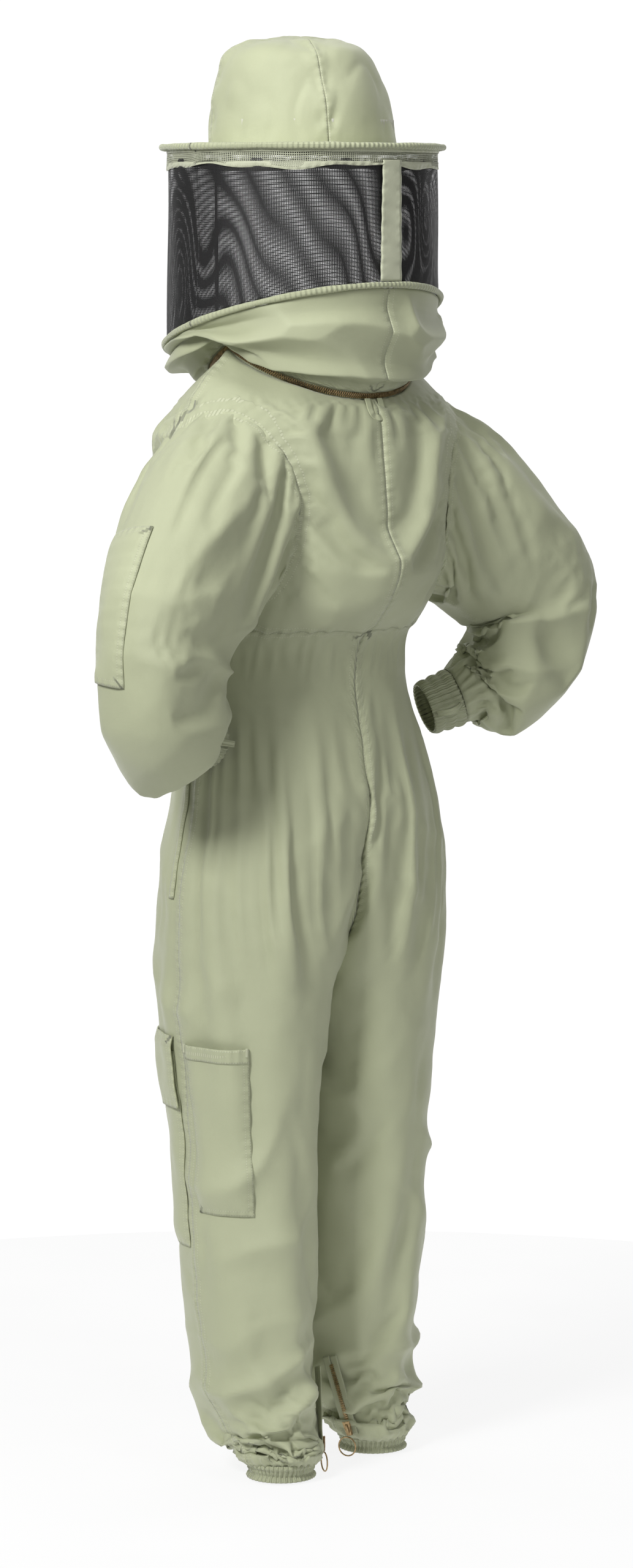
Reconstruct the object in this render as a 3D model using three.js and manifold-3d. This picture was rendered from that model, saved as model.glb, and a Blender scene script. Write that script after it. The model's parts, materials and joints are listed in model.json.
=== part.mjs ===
// A beekeeping suit: overalls with elastic waist, cuffs and ankles, and a hat with a hooped net veil
// that zips on at the neck. Millimetres, +Z up, front towards -Y, the wearer's left towards +X.
// Heights count up from the ankle hems.
import * as THREE from "three";
import { mergeVertices } from "three/addons/utils/BufferGeometryUtils.js";
import Module from "manifold-3d";

const wasm = await Module();
wasm.setup();

// ---- driving dimensions ----
const GAP = 0.4; // between pieces that meet
const CLOTH = 2.4; // wall of a sewn cloth panel
const PATCH_LIFT = 1.6; // from a panel up to what is sewn over it
const PATCH_CLOTH = 2; // wall of a pocket or flap
const PANEL_STEPS = 9; // facets across a quarter panel

const WAIST_Z = 1013; // seam between bodice and legs
const SHOULDER_Z = 1240; // where the shoulders begin to slope to the neck
const CUFF_TOP_Z = 12; // top of the elastic ankle cuff
const CUFF_LOW_Z = -8;
const FRONT_Y = -112; // flat line of the front zip

// Rows of the left leg and half body: height, then the centre and half widths of an ellipse,
// which the middle plane cuts where it reaches across.
const BODY_ROWS = [
  { z: CUFF_TOP_Z, cx: 90, cy: 54, ax: 48, ay: 48 },
  { z: 144, cx: 89, cy: 12, ax: 74, ay: 78 },
  { z: 268, cx: 89, cy: 4, ax: 82, ay: 88 },
  { z: 436, cx: 90, cy: -2, ax: 86, ay: 93 },
  { z: 582, cx: 95, cy: -5, ax: 93.5, ay: 112 },
  { z: 618, cx: 96.5, cy: -3, ax: 95.5, ay: 118 },
  { z: 665, cx: 85, cy: 1, ax: 107, ay: 128 },
  { z: 728, cx: 60, cy: 7, ax: 130, ay: 134 },
  { z: 800, cx: 35, cy: 13, ax: 145, ay: 129 },
  { z: 850, cx: 18, cy: 8.5, ax: 150, ay: 121.4 },
  { z: 905, cx: 6, cy: -1.5, ax: 142, ay: 110.6 },
  { z: 953, cx: 0, cy: -9, ax: 139, ay: 103 },
  { z: WAIST_Z, cx: 0, cy: 1, ax: 142, ay: 113 },
  { z: 1045, cx: 0, cy: 22, ax: 150, ay: 134 },
  { z: 1087, cx: 0, cy: 31, ax: 160, ay: 143 },
  { z: 1143, cx: 0, cy: 30, ax: 176, ay: 142 },
  { z: 1199, cx: 0, cy: 27, ax: 200, ay: 139 },
  { z: SHOULDER_Z, cx: 0, cy: 23, ax: 212, ay: 135 },
];
const STRIDE = 21; // how far the left hem stands behind the middle, and the right before it
const STRIDE_TOP_Z = 600;

// neck ring: a circle bent into two planes that drop to the front and to the back
const NECK = { y: 23, z: 1344, radius: 125, drop: 58 };
const TAPE_REACH = 11; // from the zip's middle line to the tape's far edge
const TEETH_REACH = 3.5;
const TAPE_WALL = 2;
const TEETH_WALL = 4;

// hood
const HOOD_Y = 8;
const CROWN = { z: 1575, radius: 113, height: 133, wall: 2.4, turn: 66, eye: 2 };
const BRIM = { z: 1577, radius: 171.5, wall: 2.4 };
const RING_SIDES = 32; // facets round the hat and the hoops
const WIRE = 2.2; // radius of the sprung rings
const ROLL_WALL = 1.6;
const ROLL_ROOM = 0.8; // between a ring and the cloth rolled round it
const EDGE_ROLL = WIRE + ROLL_ROOM + ROLL_WALL; // radius of the roll at the brim and the lower hoop
const BAND = { radius: 160, low: 1557, wall: 1.6 };
const NET_WALL = 1.2;
const VEIL_TAPE = { top: 28, low: 32, wall: 1.2 };
const HOOP = { z: 1371, radius: 167, rise: 0.28 }; // rise of its plane towards the back
const COLLAR_BULGE = 10;

// sleeves: points of the middle line with the section's half widths
const SLEEVE_WALL = 2.4;
const SLEEVE_SIDES = 20;
const SLEEVES = {
  left: [
    { at: [106, 48, 1196], tall: 98, deep: 84 },
    { at: [175, 62, 1146], tall: 108, deep: 92 },
    { at: [250, 82, 1070], tall: 84, deep: 84 },
    { at: [284, 92, 995], tall: 74, deep: 76 },
    { at: [274, 84, 930], tall: 72, deep: 72 },
    { at: [236, 62, 896], tall: 60, deep: 56 },
    { at: [205, 48, 888], tall: 36, deep: 34 },
  ],
  right: [
    { at: [106, 48, 1196], tall: 98, deep: 84 },
    { at: [175, 62, 1150], tall: 108, deep: 92 },
    { at: [252, 80, 1092], tall: 84, deep: 84 },
    { at: [298, 92, 1030], tall: 74, deep: 76 },
    { at: [284, 86, 966], tall: 70, deep: 70 },
    { at: [240, 64, 926], tall: 58, deep: 56 },
    { at: [207, 50, 912], tall: 36, deep: 34 },
  ],
};
const CUFF_LENGTH = 42;
const CUFF_WALL = 3;

// pockets on the left leg, in degrees round the section from the outer side, plus to the front
const CARGO = { from: -54, to: -4, low: 314, high: 517, depth: 9 };
const THIGH = { from: 12, to: 66, low: 268, high: 505, depth: 9 };
const FLAP = { from: 10, to: 68, low: 436, high: 524, wall: 2 };
// facets round the sleeve from the outside of its bend, and shares down it
const SLEEVE_PATCH = { firstFacet: -3, facets: 4, high: 0.31, low: 0.57 };
const WAIST_ELASTIC = { from: -20, to: -160, drop: 45, wide: 30, wall: 2 };
const HIP_BAG = { from: 16, to: 56, low: 575, high: 715, inset: 7, wall: 3 };

const FRONT_ZIP = { low: 852, high: 1236, wide: 14, wall: 2.5 };
const FRONT_SLIDER = { start: 1226, length: 14, wide: 9, deep: 3 };
const PULL = { wide: 6, length: 24, wall: 1.6 };
const NECK_SLIDER = { length: 12, wide: 8, deep: 3, park: 5 };
const ANKLE_ZIP = { turn: 200, low: 16, high: 114, wide: 20, wall: 2.2, slot: 1 };
const ANKLE_SLIDER = { length: 18, wide: 10, deep: 3.4, low: 18 };
const RING = { radius: 11.6, wire: 0.9 };
const HANG_LOOP = { wide: 27, drop: 29, strap: 8, wall: 1.6 };
const THUMB_LOOP = { length: 34, strap: 7, wall: 1.4, reach: 12 };

const COLOURS = {
  cloth: [0x9ca67c, 0.85, 0],
  elastic: [0x98a178, 0.9, 0],
  net: [0x1b1c1c, 0.8, 0],
  mesh: [0xc9c9b8, 0.85, 0],
  tape: [0xd2d2c4, 0.8, 0],
  brass: [0x9a6f3c, 0.35, 1],
  steel: [0xb8bcc0, 0.3, 1],
};

// ---- small helpers ----
const V = (x, y, z) => new THREE.Vector3(x, y, z);
const rad = THREE.MathUtils.degToRad;
const lerp = THREE.MathUtils.lerp;
const group = new THREE.Group();

function volumeOf(points, faces) {
  const cross = new THREE.Vector3();
  let sum = 0;
  for (const [a, b, c] of faces) sum += points[a].dot(cross.crossVectors(points[b], points[c]));
  return sum / 6;
}

// A geometry from points and triangles, its faces turned outwards.
function bodyOf(points, faces) {
  const flip = volumeOf(points, faces) < 0;
  const position = new Float32Array(points.flatMap((p) => [p.x, p.y, p.z]));
  const index = faces.flatMap(([a, b, c]) => (flip ? [a, c, b] : [a, b, c]));
  const body = new THREE.BufferGeometry();
  body.setAttribute("position", new THREE.BufferAttribute(position, 3));
  body.setIndex(index);
  return body;
}

// A closed wall between two surfaces, each given as a function of u and v from 0 to 1.
function wallOf(outer, inner, across, rows, round = false) {
  const points = [];
  const faces = [];
  const columns = round ? across : across + 1;
  const levels = rows.length;
  for (const surface of [outer, inner]) {
    for (const v of rows) {
      for (let i = 0; i < columns; i++) points.push(surface(i / across, v));
    }
  }
  const at = (layer, row, i) => (layer * levels + row) * columns + (i % columns);
  const quad = (a, b, c, d) => faces.push([a, b, c], [a, c, d]);
  for (let row = 0; row < levels - 1; row++) {
    for (let i = 0; i < across; i++) {
      quad(at(0, row, i), at(0, row, i + 1), at(0, row + 1, i + 1), at(0, row + 1, i));
      quad(at(1, row, i + 1), at(1, row, i), at(1, row + 1, i), at(1, row + 1, i + 1));
    }
  }
  const top = levels - 1;
  for (let i = 0; i < across; i++) {
    quad(at(0, 0, i + 1), at(0, 0, i), at(1, 0, i), at(1, 0, i + 1));
    quad(at(0, top, i), at(0, top, i + 1), at(1, top, i + 1), at(1, top, i));
  }
  if (!round) {
    for (let row = 0; row < top; row++) {
      quad(at(0, row, 0), at(0, row + 1, 0), at(1, row + 1, 0), at(1, row, 0));
      quad(at(0, row + 1, across), at(0, row, across), at(1, row, across), at(1, row + 1, across));
    }
  }
  return bodyOf(points, faces);
}

// A solid stack of closed loops, capped at both ends.
function stackOf(loop, sides, rows) {
  const points = [];
  const faces = [];
  for (const v of rows) {
    for (let i = 0; i < sides; i++) points.push(loop(i / sides, v));
  }
  for (let row = 0; row < rows.length - 1; row++) {
    for (let i = 0; i < sides; i++) {
      const [a, b] = [row * sides + i, row * sides + ((i + 1) % sides)];
      faces.push([a, b, b + sides], [a, b + sides, a + sides]);
    }
  }
  const last = (rows.length - 1) * sides;
  for (let i = 1; i < sides - 1; i++) {
    faces.push([0, i + 1, i], [last, last + i, last + i + 1]);
  }
  return bodyOf(points, faces);
}

// The same geometry with only its places left and its shared corners merged.
function closed(geometry) {
  const bare = geometry.clone();
  bare.deleteAttribute("normal");
  bare.deleteAttribute("uv");
  return mergeVertices(bare, 1e-4);
}

function solidOf(geometry) {
  const merged = closed(geometry);
  return new wasm.Manifold(
    new wasm.Mesh({
      numProp: 3,
      vertProperties: merged.attributes.position.array,
      triVerts: new Uint32Array(merged.index.array),
    }),
  );
}

function geometryOf(solid) {
  const mesh = solid.getMesh();
  const made = new THREE.BufferGeometry();
  made.setAttribute("position", new THREE.BufferAttribute(mesh.vertProperties, mesh.numProp));
  made.setIndex(new THREE.BufferAttribute(mesh.triVerts, 1));
  return made;
}

// The largest of the separate pieces that a cut leaves.
function largest(solid) {
  return solid.decompose().reduce((best, next) => (next.volume() > best.volume() ? next : best));
}

function cut(geometry, ...tools) {
  return geometryOf(largest(tools.reduce((left, tool) => left.subtract(tool), solidOf(geometry))));
}

function add(name, geometry, colour, parent = group) {
  const [color, roughness, metalness] = COLOURS[colour];
  const finish = new THREE.MeshStandardMaterial({ color, roughness, metalness });
  const mesh = new THREE.Mesh(geometry, finish);
  mesh.name = name;
  parent.add(mesh);
  return mesh;
}

// Turns a left piece into the right one across the middle plane.
function mirrored(geometry) {
  const copy = geometry.clone().applyMatrix4(new THREE.Matrix4().makeScale(-1, 1, 1));
  const index = Array.from(copy.index.array);
  for (let i = 0; i < index.length; i += 3) [index[i], index[i + 1]] = [index[i + 1], index[i]];
  copy.setIndex(index);
  return copy;
}

// ---- body surface ----
const sideSign = { left: 1, right: -1 };

function bodyRow(z) {
  const rows = BODY_ROWS;
  let k = 0;
  while (k < rows.length - 2 && z > rows[k + 1].z) k++;
  const [a, b] = [rows[k], rows[k + 1]];
  const t = (z - a.z) / (b.z - a.z);
  return {
    cx: lerp(a.cx, b.cx, t),
    cy: lerp(a.cy, b.cy, t),
    ax: lerp(a.ax, b.ax, t),
    ay: lerp(a.ay, b.ay, t),
  };
}

const strideAt = (z, side) =>
  sideSign[side] * STRIDE * Math.max(0, 1 - Math.max(z, CUFF_TOP_Z) / STRIDE_TOP_Z);

// A point of the body on the left half, angle in radians from the outer side, plus to the front.
function bodyPoint(angle, z, out, side) {
  const row = bodyRow(z);
  const x = row.cx + (row.ax + out) * Math.cos(angle);
  const y = row.cy - (row.ay + out) * Math.sin(angle) + strideAt(z, side);
  return V(x, y, z);
}

// The angle where a section reaches the middle plane or, below the crotch, the inner leg seam.
function middleAngle(z, out) {
  const row = bodyRow(z);
  const reach = (GAP / 2 - row.cx) / (row.ax + out);
  const seam = Math.PI - GAP / 2 / row.ay;
  return reach <= -1 ? seam : Math.min(Math.acos(reach), seam);
}

const breaksBetween = (low, high) => [
  low,
  ...BODY_ROWS.map((row) => row.z).filter((z) => z > low + 1 && z < high - 1),
  high,
];

// Heights as the rows of a wall, from 0 to 1 between the lowest and the highest.
const sharesOf = (heights) =>
  heights.map((z) => (z - heights[0]) / (heights[heights.length - 1] - heights[0]));

// neck ring frame: a point, the way out of the circle and the way up along the zip's width
const NECK_TILT = Math.asin(NECK.drop / NECK.radius);

function neckFrame(angle) {
  const toFront = Math.sin(angle);
  const ease = Math.min(1, Math.abs(toFront) / Math.sin(rad(15)));
  const side = -Math.sign(toFront);
  const down = Math.abs(toFront);
  const radial = V(
    Math.cos(angle),
    side * down * Math.cos(NECK_TILT),
    -down * Math.sin(NECK_TILT),
  );
  const up = V(0, side * ease * Math.sin(NECK_TILT), Math.cos(NECK_TILT)).normalize();
  return { centre: V(0, NECK.y, NECK.z), radial, up };
}

function neckPoint(angle, out, along) {
  const { centre, radial, up } = neckFrame(angle);
  return centre.addScaledVector(radial, NECK.radius + out).addScaledVector(up, along);
}

// ---- bodice and legs ----
const SEAM_GAP = GAP / 2;

function panelOf(side, part, low, high, toNeck) {
  const front = part === "front" ? 1 : -1;
  const heights = breaksBetween(low, high);
  const shares = sharesOf(heights);
  const reach = toNeck ? [...shares.map((s) => s / 2), 0.75, 1] : shares;
  const surface = (out) => (u, v) => {
    const share = toNeck ? Math.min(1, v * 2) : v;
    const z = lerp(low, high, share);
    const seam = SEAM_GAP / bodyRow(z).ay;
    const angle = front * lerp(seam, middleAngle(z, out), u);
    const point = bodyPoint(angle, z, out, side);
    if (!toNeck || v <= 0.5) return point;
    const neckAngle = front * lerp(SEAM_GAP / NECK.radius, Math.PI / 2 - SEAM_GAP / NECK.radius, u);
    const edge = neckPoint(neckAngle, out, -TAPE_REACH - 2 * GAP);
    return point.lerp(edge, (v - 0.5) * 2);
  };
  return wallOf(surface(0), surface(-CLOTH), PANEL_STEPS, reach);
}

const sided = (side, geometry) => (side === "left" ? geometry : mirrored(geometry));

// ---- sleeves ----
// Sections stand square to the middle line; the tall axis points to the outside of the bend.
function sleeveSections(side) {
  const rows = SLEEVES[side];
  const line = rows.map((row) => V(...row.at));
  return rows.map((row, k) => {
    const ahead = line[Math.min(k + 1, rows.length - 1)];
    const behind = line[Math.max(k - 1, 0)];
    const along = ahead.clone().sub(behind).normalize();
    const deep = V(0, 1, 0).addScaledVector(along, -along.y).normalize();
    const tall = along.clone().cross(deep).normalize();
    return { at: line[k], tall, deep, radii: [row.tall, row.deep], along };
  });
}

function sleevePoint(sections, u, v, out) {
  const place = v * (sections.length - 1);
  const k = Math.min(sections.length - 2, Math.floor(place));
  const [a, b] = [sections[k], sections[k + 1]];
  const turn = u * 2 * Math.PI;
  const ring = (s) =>
    s.at
      .clone()
      .addScaledVector(s.tall, (s.radii[0] + out) * Math.cos(turn))
      .addScaledVector(s.deep, (s.radii[1] + out) * Math.sin(turn));
  return ring(a).lerp(ring(b), place - k);
}

const sleeveRows = (sections) => sections.map((_, k) => k / (sections.length - 1));

function sleeveTube(side) {
  const sections = sleeveSections(side);
  const surface = (out) => (u, v) => sleevePoint(sections, u, v, out);
  return wallOf(surface(0), surface(-SLEEVE_WALL), SLEEVE_SIDES, sleeveRows(sections), true);
}

function sleeveFilled(side, out) {
  const sections = sleeveSections(side);
  const loop = (u, v) => sleevePoint(sections, u, v, out);
  return solidOf(stackOf(loop, SLEEVE_SIDES, sleeveRows(sections)));
}

// The whole upper body as one solid, to trim the sleeves where they enter it.
function bodyFilled(out) {
  const low = BODY_ROWS[10].z;
  const heights = breaksBetween(low, SHOULDER_Z);
  const neckShares = [0.5, 1];
  const rows = [...heights.map((z) => ({ z, t: 0 })), ...neckShares.map((t) => ({ z: SHOULDER_Z, t }))];
  const loop = (u, v) => {
    const { z, t } = rows[Math.round(v * (rows.length - 1))];
    const angle = u * 2 * Math.PI;
    const row = bodyRow(z);
    const x = Math.sign(Math.cos(angle)) * row.cx + (row.ax + out) * Math.cos(angle);
    const point = V(x, row.cy - (row.ay + out) * Math.sin(angle), z);
    return t ? point.lerp(neckPoint(angle, out, -TAPE_REACH), t) : point;
  };
  const shares = rows.map((_, k) => k / (rows.length - 1));
  return solidOf(stackOf(loop, PANEL_STEPS * 4, shares));
}

const filledBody = bodyFilled(GAP + 0.4);

for (const side of ["left", "right"]) {
  const arm = sleeveFilled(side, GAP);
  for (const part of ["front", "back"]) {
    const bodice = panelOf(side, part, WAIST_Z + GAP, SHOULDER_Z, true);
    add(`bodice_${part}_${side}`, sided(side, cut(bodice, arm)), "cloth");
    const leg = panelOf(side, part, CUFF_TOP_Z + GAP, WAIST_Z - GAP, false);
    add(`leg_${part}_${side}`, sided(side, leg), "cloth");
  }
  add(`sleeve_${side}`, sided(side, cut(sleeveTube(side), filledBody)), "cloth");
}

// ---- elastic cuffs ----
function sleeveCuff(side) {
  const sections = sleeveSections(side);
  const end = sections[sections.length - 1];
  const surface = (out) => (u, v) =>
    end.at
      .clone()
      .addScaledVector(end.along, GAP + v * CUFF_LENGTH)
      .addScaledVector(end.tall, (end.radii[0] + out - 3 * v) * Math.cos(u * 2 * Math.PI))
      .addScaledVector(end.deep, (end.radii[1] + out - 3 * v) * Math.sin(u * 2 * Math.PI));
  return wallOf(surface(-0.5), surface(-0.5 - CUFF_WALL), SLEEVE_SIDES, [0, 1], true);
}

// A flat strap that stands off the cuff's upper side as a loop for the thumb.
function thumbLoop(side) {
  const sections = sleeveSections(side);
  const end = sections[sections.length - 1];
  const bow = new THREE.Shape();
  const half = THUMB_LOOP.length / 2;
  bow.moveTo(-half, 0);
  bow.quadraticCurveTo(0, THUMB_LOOP.reach * 2, half, 0);
  bow.lineTo(half - THUMB_LOOP.wall * 2, 0);
  bow.quadraticCurveTo(0, THUMB_LOOP.reach * 2 - THUMB_LOOP.wall * 3, -half + THUMB_LOOP.wall * 2, 0);
  bow.closePath();
  const strap = new THREE.ExtrudeGeometry(bow, {
    depth: THUMB_LOOP.strap,
    bevelEnabled: false,
    curveSegments: 8,
  });
  strap.translate(0, 0, -THUMB_LOOP.strap / 2);
  const basis = new THREE.Matrix4().makeBasis(end.along, end.deep, end.along.clone().cross(end.deep));
  const foot = end.at
    .clone()
    .addScaledVector(end.along, CUFF_LENGTH / 2)
    .addScaledVector(end.deep, end.radii[1] + GAP);
  return closed(strap.applyMatrix4(basis.setPosition(foot)));
}

function ankleCuff(side) {
  const row = BODY_ROWS[0];
  const shift = strideAt(CUFF_TOP_Z, side);
  const surface = (out) => (u, v) => {
    const angle = u * 2 * Math.PI;
    const z = lerp(CUFF_LOW_Z, CUFF_TOP_Z - GAP, v);
    const spread = out - 6 * (1 - v);
    return V(
      row.cx + (row.ax + spread) * Math.cos(angle),
      row.cy + shift + (row.ay + spread) * Math.sin(angle),
      z,
    );
  };
  return wallOf(surface(-1), surface(-1 - CUFF_WALL), 24, [0, 1], true);
}

// ---- things sewn over the leg ----
// A wall that follows the body between two angles and two heights, from one lift to another.
function legPatch(side, { from, to, low, high }, inside, outside) {
  const heights = breaksBetween(low, high);
  const surface = (out) => (u, v) =>
    bodyPoint(rad(lerp(from, to, u)), lerp(low, high, v), out, side);
  return wallOf(surface(outside), surface(inside), 7, sharesOf(heights));
}

// A pocket: a patch hollowed from above and from behind.
function patchPocket(side, place) {
  const outside = PATCH_LIFT + place.depth + PATCH_CLOTH;
  const shell = legPatch(side, place, PATCH_LIFT, outside);
  const hem = 6;
  const hemAngle = 4;
  const room = {
    from: place.from + hemAngle,
    to: place.to - hemAngle,
    low: place.low + hem,
    high: place.high + hem,
  };
  return cut(shell, solidOf(legPatch(side, room, 0, PATCH_LIFT + place.depth)));
}

for (const side of ["left", "right"]) {
  add(`cuff_${side}`, sided(side, sleeveCuff(side)), "elastic");
  add(`thumb_loop_${side}`, sided(side, thumbLoop(side)), "elastic");
  add(`ankle_cuff_${side}`, sided(side, ankleCuff(side)), "elastic");
  const bag = legPatch(side, HIP_BAG, -HIP_BAG.inset - HIP_BAG.wall, -HIP_BAG.inset);
  add(`hip_pocket_${side}`, sided(side, bag), "cloth");
}
add("cargo_pocket", patchPocket("left", CARGO), "cloth");
add("thigh_pocket", patchPocket("left", THIGH), "cloth");
const flapLift = PATCH_LIFT + THIGH.depth + PATCH_CLOTH + PATCH_LIFT;
add("thigh_flap", legPatch("left", FLAP, flapLift, flapLift + FLAP.wall), "cloth");

// waist elastic inside the back of the waist
const waistBand = (out) => (u, v) => {
  const z = WAIST_Z - WAIST_ELASTIC.drop + v * WAIST_ELASTIC.wide;
  const row = bodyRow(z);
  const angle = rad(lerp(WAIST_ELASTIC.from, WAIST_ELASTIC.to, u));
  return V((row.ax + out) * Math.cos(angle), row.cy - (row.ay + out) * Math.sin(angle), z);
};
add(
  "waist_elastic",
  wallOf(
    waistBand(-CLOTH - PATCH_LIFT),
    waistBand(-CLOTH - PATCH_LIFT - WAIST_ELASTIC.wall),
    14,
    [0, 1],
  ),
  "elastic",
);

// pocket on the outside of the left upper sleeve
const leftSections = sleeveSections("left");
const { firstFacet, facets, high: patchHigh, low: patchLow } = SLEEVE_PATCH;
const sleevePatch = (out) => (u, v) => {
  const turn = (firstFacet + facets * u) / SLEEVE_SIDES;
  return sleevePoint(leftSections, turn, lerp(patchHigh, patchLow, v), out);
};
const patchRows = sleeveRows(leftSections)
  .filter((share) => share > patchHigh && share < patchLow)
  .map((share) => (share - patchHigh) / (patchLow - patchHigh));
add(
  "sleeve_pocket",
  wallOf(sleevePatch(PATCH_LIFT + PATCH_CLOTH), sleevePatch(PATCH_LIFT), facets, [
    0,
    ...patchRows,
    1,
  ]),
  "cloth",
);

// ---- zips ----
// Tape and teeth as one section, swept round the neck: up is +1 for the hood's half, -1 below.
function neckZip(up) {
  const [tape, teeth] = [TAPE_WALL / 2, TEETH_WALL / 2];
  const section = [
    [teeth, GAP],
    [teeth, TEETH_REACH],
    [tape, TEETH_REACH],
    [tape, TAPE_REACH],
    [-tape, TAPE_REACH],
    [-tape, TEETH_REACH],
    [-teeth, TEETH_REACH],
    [-teeth, GAP],
  ];
  const steps = 44;
  const open = 0.4;
  const points = [];
  const faces = [];
  for (let i = 0; i <= steps; i++) {
    const angle = rad(lerp(90 + open, 450 - open, i / steps));
    for (const [out, along] of section) points.push(neckPoint(angle, out, along * up));
  }
  const n = section.length;
  for (let i = 0; i < steps; i++) {
    for (let k = 0; k < n; k++) {
      const [a, b] = [i * n + k, i * n + ((k + 1) % n)];
      faces.push([a, b, b + n], [a, b + n, a + n]);
    }
  }
  const end = steps * n;
  const halves = [[0, 1, 6], [0, 6, 7], [1, 2, 5], [1, 5, 6], [2, 3, 4], [2, 4, 5]];
  for (const [a, b, c] of halves) faces.push([c, b, a], [end + a, end + b, end + c]);
  return bodyOf(points, faces);
}

add("neck_zip_lower", neckZip(-1), "brass");

const frontTape = (side) => {
  const half = FRONT_ZIP.wide;
  const tape = new THREE.BoxGeometry(half, FRONT_ZIP.wall, FRONT_ZIP.high - FRONT_ZIP.low);
  const x = sideSign[side] * (half / 2 + GAP);
  return tape.translate(x, FRONT_Y - GAP - FRONT_ZIP.wall / 2, (FRONT_ZIP.high + FRONT_ZIP.low) / 2);
};
for (const side of ["left", "right"]) add(`front_zip_${side}`, frontTape(side), "brass");

// slider body with its bridge left out of the way of the pull
const sliderBody = ({ wide, length, deep }) => {
  const shape = new THREE.Shape();
  shape.moveTo(-wide / 2, length / 2);
  shape.lineTo(-wide / 3, -length / 2);
  shape.lineTo(wide / 3, -length / 2);
  shape.lineTo(wide / 2, length / 2);
  shape.closePath();
  return new THREE.ExtrudeGeometry(shape, { depth: deep, bevelEnabled: false });
};

// pull plate hanging from a pin line at its top, with a round window
const pullPlate = () => {
  const shape = new THREE.Shape();
  const half = PULL.wide / 2;
  shape.moveTo(-half, 0);
  shape.lineTo(-half, -PULL.length + half);
  shape.absarc(0, -PULL.length + half, half, Math.PI, 2 * Math.PI, false);
  shape.lineTo(half, 0);
  shape.closePath();
  const eye = new THREE.Path();
  eye.absarc(0, -PULL.length + half, half / 2, 0, 2 * Math.PI, true);
  shape.holes.push(eye);
  return new THREE.ExtrudeGeometry(shape, {
    depth: PULL.wall,
    bevelEnabled: false,
    curveSegments: 5,
  });
};

// Sets a piece drawn in the x-y plane on a frame: x across, y along, z out.
function placed(geometry, at, along, out) {
  const across = along.clone().cross(out).normalize();
  const basis = new THREE.Matrix4().makeBasis(across, along, out);
  return closed(geometry).applyMatrix4(basis.setPosition(at));
}

const UP = V(0, 0, 1);
const frontFace = FRONT_Y - GAP - FRONT_ZIP.wall - GAP;
add(
  "front_slider",
  placed(sliderBody(FRONT_SLIDER), V(0, frontFace, FRONT_SLIDER.start), UP, V(0, -1, 0)),
  "brass",
);
add(
  "front_pull",
  placed(pullPlate(), V(0, frontFace - FRONT_SLIDER.deep - GAP, FRONT_SLIDER.start), UP, V(0, -1, 0)),
  "brass",
);

// neck sliders, parked either side of the front middle
for (const side of ["left", "right"]) {
  const angle = rad(90 - sideSign[side] * NECK_SLIDER.park);
  const { radial, up } = neckFrame(angle);
  const along = new THREE.Vector3().crossVectors(up, radial).multiplyScalar(-sideSign[side]);
  const foot = neckPoint(angle, TEETH_WALL / 2 + GAP, 0);
  const slider = placed(sliderBody(NECK_SLIDER), foot, along, radial);
  add(`neck_slider_${side}`, slider, "brass");
  const lean = radial.clone().multiplyScalar(0.92).addScaledVector(up, -0.39).normalize();
  const pin = neckPoint(angle, TEETH_WALL / 2 + NECK_SLIDER.deep + 3 * GAP, 0);
  const face = new THREE.Vector3().crossVectors(along, lean).normalize();
  if (face.z < 0) face.negate();
  add(`neck_pull_${side}`, placed(pullPlate(), pin, lean.clone().negate(), face), "brass");
}

// ankle zips, on the inner side of each leg and a little behind
function ankleLine(side) {
  const angle = rad(ANKLE_ZIP.turn);
  const low = bodyPoint(angle, ANKLE_ZIP.low, 0, side);
  const high = bodyPoint(angle, ANKLE_ZIP.high, 0, side);
  const along = high.clone().sub(low).normalize();
  const tangent = bodyPoint(angle + 0.05, ANKLE_ZIP.low, 0, side).sub(low);
  const out = new THREE.Vector3().crossVectors(tangent, along).normalize();
  const row = bodyRow(ANKLE_ZIP.low);
  const away = low.clone().sub(V(row.cx, row.cy + strideAt(ANKLE_ZIP.low, side), low.z));
  if (out.dot(away) < 0) out.negate();
  return { low, high, along, out };
}

for (const side of ["left", "right"]) {
  const { low, high, along, out } = ankleLine(side);
  const half = ANKLE_ZIP.wide / 2;
  const length = low.distanceTo(high);
  const tapes = new THREE.Shape();
  tapes.moveTo(-half, 0);
  tapes.lineTo(-ANKLE_ZIP.slot / 2, 0);
  tapes.lineTo(-ANKLE_ZIP.slot / 2, length - half);
  tapes.lineTo(ANKLE_ZIP.slot / 2, length - half);
  tapes.lineTo(ANKLE_ZIP.slot / 2, 0);
  tapes.lineTo(half, 0);
  tapes.lineTo(half, length);
  tapes.lineTo(-half, length);
  tapes.closePath();
  const plate = new THREE.ExtrudeGeometry(tapes, { depth: ANKLE_ZIP.wall, bevelEnabled: false });
  const foot = low.clone().addScaledVector(out, PATCH_LIFT);
  add(`ankle_zip_${side}`, sided(side, placed(plate, foot, along, out)), "brass");
  const lift = PATCH_LIFT + ANKLE_ZIP.wall + GAP;
  const seat = low
    .clone()
    .addScaledVector(along, ANKLE_SLIDER.length / 2 + 1)
    .addScaledVector(out, lift);
  add(
    `ankle_slider_${side}`,
    sided(side, placed(sliderBody(ANKLE_SLIDER), seat, along, out)),
    "brass",
  );
  const ring = new THREE.TorusGeometry(RING.radius, RING.wire, 6, 20);
  const hang = seat
    .clone()
    .addScaledVector(UP, -ANKLE_SLIDER.length / 2 - GAP - RING.wire - RING.radius)
    .addScaledVector(out, ANKLE_SLIDER.deep);
  const flatOut = V(out.x, out.y, 0).normalize();
  add(`ankle_ring_${side}`, sided(side, placed(ring, hang, UP, flatOut)), "brass");
}

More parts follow.
